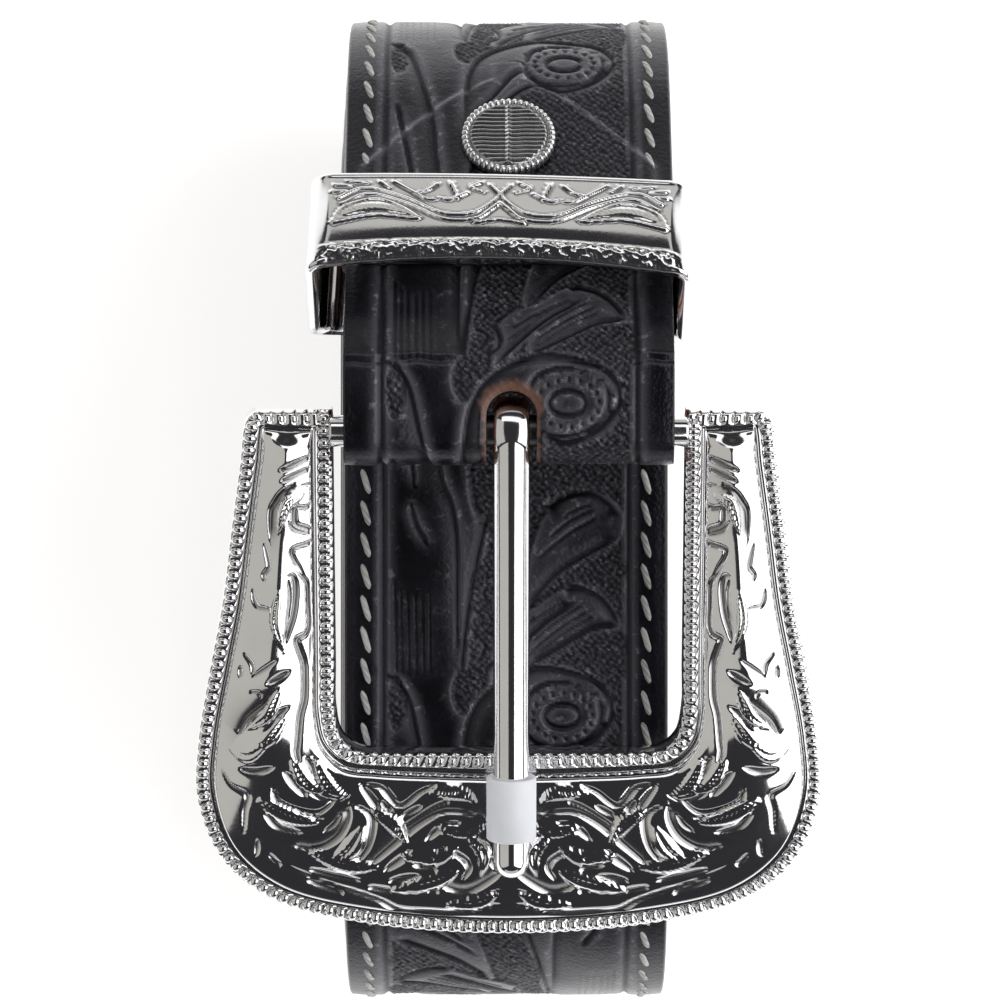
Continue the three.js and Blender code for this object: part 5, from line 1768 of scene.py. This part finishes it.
def leather_grain() -> NodeTree:
    """Fine pebbled grain, pores and soft blotches of worn leather."""
    group, nodes = new_group("leather_grain", {"Scale": 1.0, "Stipple": 0.0}, ("Height", "Blotch", "Scuff"))
    given, out = nodes.add("NodeGroupInput"), nodes.add("NodeGroupOutput")
    place = given.outputs["Place"]

    def scaled(amount: float) -> NodeSocket:
        """The place times the scale and an amount."""
        node = nodes.add("ShaderNodeVectorMath", operation="SCALE")
        nodes.link(place, node.inputs[0])
        nodes.link(nodes.math("MULTIPLY", given.outputs["Scale"], amount), node.inputs["Scale"])
        return node.outputs["Vector"]

    pebble = nodes.add("ShaderNodeTexVoronoi", feature="SMOOTH_F1", Vector=scaled(26.0), Scale=1.0)
    pores = nodes.add("ShaderNodeTexNoise", Vector=scaled(60.0), Scale=1.0, Detail=3.0)
    pits = nodes.add("ShaderNodeTexVoronoi", feature="F1", Vector=scaled(11.0), Scale=1.0)
    blotch = nodes.add("ShaderNodeTexNoise", Vector=scaled(1.4), Scale=1.0, Detail=4.0)
    scuff = nodes.add("ShaderNodeTexNoise", Vector=scaled(7.0), Scale=1.0, Detail=6.0, Roughness=0.7)
    fine = nodes.math("MULTIPLY", pebble.outputs["Distance"], 0.55)
    fine = nodes.math("ADD", fine, nodes.math("MULTIPLY", pores.outputs["Fac"], 0.35))
    deep = nodes.math("MULTIPLY", nodes.spread(pits.outputs["Distance"], 0.15, 0.5), given.outputs["Stipple"])
    nodes.link(nodes.math("SUBTRACT", fine, nodes.math("MULTIPLY", deep, 2.2)), out.inputs["Height"])
    nodes.link(nodes.spread(blotch.outputs["Fac"], 0.35, 0.65), out.inputs["Blotch"])
    nodes.link(nodes.spread(scuff.outputs["Fac"], 0.56, 0.74), out.inputs["Scuff"])
    return group


def metal_wear() -> NodeTree:
    """Faint cloudiness and hairline marks of handled plating."""
    group, nodes = new_group("metal_wear", {"Scale": 1.0}, ("Cloud", "Marks"))
    given, out = nodes.add("NodeGroupInput"), nodes.add("NodeGroupOutput")
    node = nodes.add("ShaderNodeVectorMath", operation="SCALE")
    nodes.link(given.outputs["Place"], node.inputs[0])
    nodes.link(given.outputs["Scale"], node.inputs["Scale"])
    cloud = nodes.add("ShaderNodeTexNoise", Vector=node.outputs["Vector"], Scale=140.0, Detail=3.0)
    marks = nodes.add("ShaderNodeTexNoise", Vector=node.outputs["Vector"], Scale=2400.0, Detail=2.0)
    nodes.link(nodes.spread(cloud.outputs["Fac"], 0.3, 0.7), out.inputs["Cloud"])
    nodes.link(marks.outputs["Fac"], out.inputs["Marks"])
    return group


def new_material(name: str, **values: object) -> tuple[Material, Nodes, Node]:
    """Starts a material.

    Args:
        name: Its name.
        values: Fixed inputs of its shader, with spaces as underscores.

    Returns:
        The material, its builder and its Principled shader.
    """
    material = bpy.data.materials.new(name)
    material.use_nodes = True
    material.node_tree.nodes.clear()
    nodes = Nodes(material.node_tree)
    shader = nodes.add("ShaderNodeBsdfPrincipled", **values)
    out = nodes.add("ShaderNodeOutputMaterial")
    nodes.link(shader.outputs["BSDF"], out.inputs["Surface"])
    return material, nodes, shader


@dataclass(frozen=True)
class LeatherFinish:
    """Dyed leather with painted shade in its cuts and stippled ground, painted highlights on raised edges,
    dyed edges and raw cut sides.
    """

    name: str
    colour: tuple[float, float, float]
    wear_and_sheen: tuple[float, float, float]
    deep: tuple[float, float, float]
    edge: tuple[float, float, float]
    raw: tuple[float, float, float]
    shine: tuple[float, float, float]
    roughness: float
    coat: float
    bump: float

    def make(self, grain: NodeTree) -> Material:
        """Builds the material.

        Args:
            grain: The grain group.

        Returns:
            The material.
        """
        material, nodes, shader = new_material(self.name, Coat_Roughness=0.2, Specular_IOR_Level=0.42,
                                               Specular_Tint=(0.84, 0.86, 1.0, 1.0))
        place = nodes.add("ShaderNodeUVMap", uv_map="surface").outputs["UV"]
        node = nodes.add("ShaderNodeGroup", node_tree=grain, Scale=1.0, Place=place)
        stipple, painted_shade = nodes.attribute("stipple"), nodes.attribute("painted_shade")
        nodes.link(stipple, node.inputs["Stipple"])
        colour = nodes.mix(node.outputs["Blotch"], self.colour, self.wear_and_sheen)
        scuffed = nodes.math("MULTIPLY", node.outputs["Scuff"], 0.35)
        colour = nodes.mix(scuffed, colour, tuple(min(1.0, 2.2 * c + 0.01) for c in self.wear_and_sheen))
        # Painted shade: the cuts and the stippled ground are darkened.
        dark = nodes.math("MAXIMUM", painted_shade, nodes.math("MULTIPLY", stipple, 0.8))
        colour = nodes.mix(dark, colour, self.deep)
        # Painted highlight: raised edges are lightened to a bluish shine, flecked by the scuff noise.
        speck = nodes.math("ADD", 0.16, nodes.math("MULTIPLY", node.outputs["Scuff"], 0.84))
        shine = nodes.math("MULTIPLY", nodes.attribute("wear_and_sheen"), speck)
        colour = nodes.mix(shine, colour, self.shine)
        colour = nodes.mix(nodes.attribute("edge"), colour, self.edge)
        colour = nodes.mix(nodes.attribute("flesh"), colour, self.raw)
        nodes.link(colour, shader.inputs["Base Color"])
        rough = nodes.spread(node.outputs["Blotch"], 0.0, 1.0, self.roughness, self.roughness + 0.12)
        rough = nodes.math("ADD", rough, nodes.math("MULTIPLY", dark, 0.22))
        rough = nodes.math("ADD", rough, nodes.math("MULTIPLY", nodes.attribute("flesh"), 0.3))
        nodes.link(rough, shader.inputs["Roughness"])
        coat = nodes.math("SUBTRACT", self.coat, nodes.math("MULTIPLY", dark, self.coat))
        nodes.link(coat, shader.inputs["Coat Weight"])
        nodes.bump(shader, self.bump, 0.12 * MM, node.outputs["Height"])
        return material


@dataclass(frozen=True)
class MetalFinish:
    """Bright plating with painted shade in its cuts."""

    name: str
    colour: tuple[float, float, float]
    cloudy: tuple[float, float, float]
    deep: tuple[float, float, float]
    roughness: float

    def make(self, wear: NodeTree) -> Material:
        """Builds the material.

        Args:
            wear: The wear group.

        Returns:
            The material.
        """
        material, nodes, shader = new_material(self.name, Metallic=1.0)
        place = nodes.add("ShaderNodeTexCoord").outputs["Object"]
        node = nodes.add("ShaderNodeGroup", node_tree=wear, Scale=1.0, Place=place)
        painted_shade = nodes.attribute("painted_shade")
        colour = nodes.mix(node.outputs["Cloud"], self.colour, self.cloudy)
        # Painted shade in the cuts, grooves and hollows.
        colour = nodes.mix(nodes.math("MULTIPLY", painted_shade, 0.75), colour, self.deep)
        nodes.link(colour, shader.inputs["Base Color"])
        rough = nodes.spread(node.outputs["Cloud"], 0.0, 1.0, self.roughness, self.roughness + 0.05)
        rough = nodes.math("ADD", rough, nodes.math("MULTIPLY", painted_shade, 0.2))
        nodes.link(rough, shader.inputs["Roughness"])
        nodes.bump(shader, 0.12, 0.02 * MM, node.outputs["Marks"])
        return material


@dataclass(frozen=True)
class ThreadFinish:
    """Waxed thread whose twist shows."""

    name: str
    colour: tuple[float, float, float]
    dull: tuple[float, float, float]

    def make(self, grain: NodeTree) -> Material:
        """Builds the material.

        Args:
            grain: The grain group.

        Returns:
            The material.
        """
        material, nodes, shader = new_material(self.name, Roughness=0.62)
        place = nodes.add("ShaderNodeUVMap", uv_map="surface").outputs["UV"]
        turned = nodes.add("ShaderNodeMapping", Vector=place, Rotation=(0, 0, math.radians(38)))
        twist = nodes.add("ShaderNodeTexWave", Vector=turned.outputs["Vector"], Scale=7.0, Distortion=0.6)
        fuzz = nodes.add("ShaderNodeGroup", node_tree=grain, Scale=1.5, Place=place)
        share = nodes.math("MULTIPLY", twist.outputs["Fac"], fuzz.outputs["Blotch"])
        nodes.link(nodes.mix(share, self.colour, self.dull), shader.inputs["Base Color"])
        nodes.bump(shader, 0.6, 0.1 * MM, twist.outputs["Fac"])
        return material


@dataclass(frozen=True)
class SleeveFinish:
    """Milky soft plastic with a faint painted glow."""

    name: str
    colour: tuple[float, float, float]
    cloudy: tuple[float, float, float]

    def make(self, wear: NodeTree) -> Material:
        """Builds the material.

        Args:
            wear: The wear group.

        Returns:
            The material.
        """
        # The emission is painted light: the sleeve glows faintly though it is no lamp.
        material, nodes, shader = new_material(
            self.name, Transmission_Weight=0.2, Emission_Color=(0.96, 0.97, 1.0, 1.0), Emission_Strength=0.15,
            IOR=1.45)
        place = nodes.add("ShaderNodeTexCoord").outputs["Object"]
        node = nodes.add("ShaderNodeGroup", node_tree=wear, Scale=1.0, Place=place)
        nodes.link(nodes.mix(node.outputs["Cloud"], self.colour, self.cloudy), shader.inputs["Base Color"])
        nodes.link(nodes.spread(node.outputs["Cloud"], 0.0, 1.0, 0.3, 0.42), shader.inputs["Roughness"])
        nodes.bump(shader, 0.1, 0.04 * MM, node.outputs["Marks"])
        return material


# Shine colours are painted highlights on raised edges; deep colours are painted shade in cuts.
BLACK = LeatherFinish("tooled_black", colour=(0.0028, 0.0028, 0.004), wear_and_sheen=(0.0068, 0.007, 0.0105),
                      deep=(0.001, 0.001, 0.0014), edge=(0.010, 0.006, 0.0065), raw=(0.23, 0.118, 0.08),
                      shine=(0.45, 0.45, 0.52), roughness=0.2, coat=0.24, bump=0.7)
BROWN = LeatherFinish("lining_brown", colour=(0.03, 0.014, 0.013), wear_and_sheen=(0.05, 0.024, 0.02),
                      deep=(0.01, 0.006, 0.006), edge=(0.018, 0.008, 0.008), raw=(0.05, 0.026, 0.02),
                      shine=(0.06, 0.03, 0.026), roughness=0.6, coat=0.05, bump=0.4)
# The deep colour is painted shade in the cuts.
PLATING = MetalFinish("bright_plating", colour=(0.86, 0.86, 0.87), cloudy=(0.80, 0.80, 0.81),
                      deep=(0.10, 0.095, 0.10), roughness=0.07)
PLASTIC = SleeveFinish("milky_plastic", colour=(0.84, 0.85, 0.88), cloudy=(0.74, 0.76, 0.80))
WAXED = ThreadFinish("grey_thread", colour=(0.62, 0.62, 0.60), dull=(0.30, 0.30, 0.30))


@dataclass
class Studio:
    """Pale floor, soft lights and the camera over the belt."""

    lens: float = 153.9
    height: float = 0.5484
    centre: tuple[float, float] = (-0.0010, 0.0011)

    def build_floor(self) -> Object:
        """Lays the floor."""
        bpy.ops.object.select_all(action="DESELECT")
        bpy.ops.mesh.primitive_plane_add(size=6.0, location=(0, 0, 0))
        floor = bpy.context.object
        floor.name = "studio_floor"
        material, _, _ = new_material("pale_floor", Base_Color=(0.93, 0.93, 0.93, 1.0), Roughness=0.9,
                                      Emission_Color=(1.0, 1.0, 1.0, 1.0), Emission_Strength=0.7)
        floor.data.materials.append(material)
        return floor

    @staticmethod
    def light(name: str, place: tuple[float, float, float], aim: tuple[float, float, float],
              size: tuple[float, float], watts: float, colour: tuple[float, float, float]) -> None:
        """Adds a soft rectangular light.

        Args:
            name: Its name.
            place: Where it stands.
            aim: What it points at.
            size: Its width and height.
            watts: Its power.
            colour: Its colour.
        """
        lamp = bpy.data.lights.new(name, "AREA")
        lamp.shape, lamp.size, lamp.size_y = "RECTANGLE", *size
        lamp.energy, lamp.color = watts, colour
        holder = bpy.data.objects.new(name, lamp)
        way = Vector(aim) - Vector(place)
        holder.location = place
        holder.rotation_euler = way.to_track_quat("-Z", "Y").to_euler()
        bpy.context.scene.collection.objects.link(holder)

    def build(self) -> None:
        """Sets up floor, lights, surroundings and camera."""
        self.build_floor()
        self.light("right_panel", (0.66, -0.05, 0.57), (0, 0, 0.04), (1.3, 0.97), 7.8, (1.0, 0.99, 0.98))
        self.light("left_panel", (-0.66, -0.05, 0.57), (0, 0, 0.04), (1.3, 0.97), 2.0, (1.0, 0.97, 0.89))
        self.light("far_panel", (0.0, 0.95, 0.25), (0, 0, 0.05), (1.3, 0.42), 0.95, (1.0, 0.975, 0.92))
        self.light("high_panel", (0.08, 0.50, 0.66), (0, 0, 0.05), (1.0, 0.24), 0.95, (1.0, 1.0, 1.0))
        self.light("near_panel", (0.0, -0.95, 0.22), (0, 0, 0.04), (1.2, 0.3), 0.6, (1.0, 1.0, 1.0))
        world = bpy.data.worlds.new("studio")
        world.use_nodes = True
        world.node_tree.nodes["Background"].inputs["Color"].default_value = (0.03, 0.029, 0.033, 1.0)
        world.node_tree.nodes["Background"].inputs["Strength"].default_value = 1.0
        bpy.context.scene.world = world
        bpy.context.scene.view_settings.view_transform = "Standard"
        data = bpy.data.cameras.new("camera")
        data.lens, data.sensor_width = self.lens, 36.0
        camera = bpy.data.objects.new("camera", data)
        camera.location = (*self.centre, self.height)
        bpy.context.scene.collection.objects.link(camera)
        bpy.context.scene.camera = camera


def dress(materials: dict[Slot, Material], pieces: dict[Slot, list[Object]]) -> None:
    """Gives every new piece and every CAD node the material of its slot."""
    for slot, group in pieces.items():
        for piece in group:
            piece.data.materials.clear()
            piece.data.materials.append(materials[slot])
    for row in frame["record"]["subparts"]:
        carried = frame["nodes"].get(row["node"])
        if carried is not None:
            carried.data.materials.clear()
            carried.data.materials.append(materials[Slot(row["material_slot"])])


def main() -> None:
    """Builds the belt piece by piece."""
    bpy.ops.object.select_all(action="DESELECT")
    Studio().build()
    strap, buckle, prong, keeper, snap = Strap(), Buckle(), Prong(), Keeper(), Snap()
    leather = strap.build_face()
    lining = strap.build_lining()
    stitches = strap.build_stitches()
    metal = [buckle.build_plate(), buckle.build_beads(), buckle.build_bar()]
    rod, eye, sleeve = prong.build(buckle)
    metal += [rod, eye, keeper.build(), snap.build()]
    grain, wear = leather_grain(), metal_wear()
    materials = {Slot.LEATHER: BLACK.make(grain), Slot.LINING: BROWN.make(grain),
                 Slot.METAL: PLATING.make(wear), Slot.SLEEVE: PLASTIC.make(wear),
                 Slot.THREAD: WAXED.make(grain)}
    dress(materials, {Slot.LEATHER: leather, Slot.LINING: [lining], Slot.THREAD: [stitches],
                      Slot.METAL: metal, Slot.SLEEVE: [sleeve]})


if __name__ == "__main__":
    main()
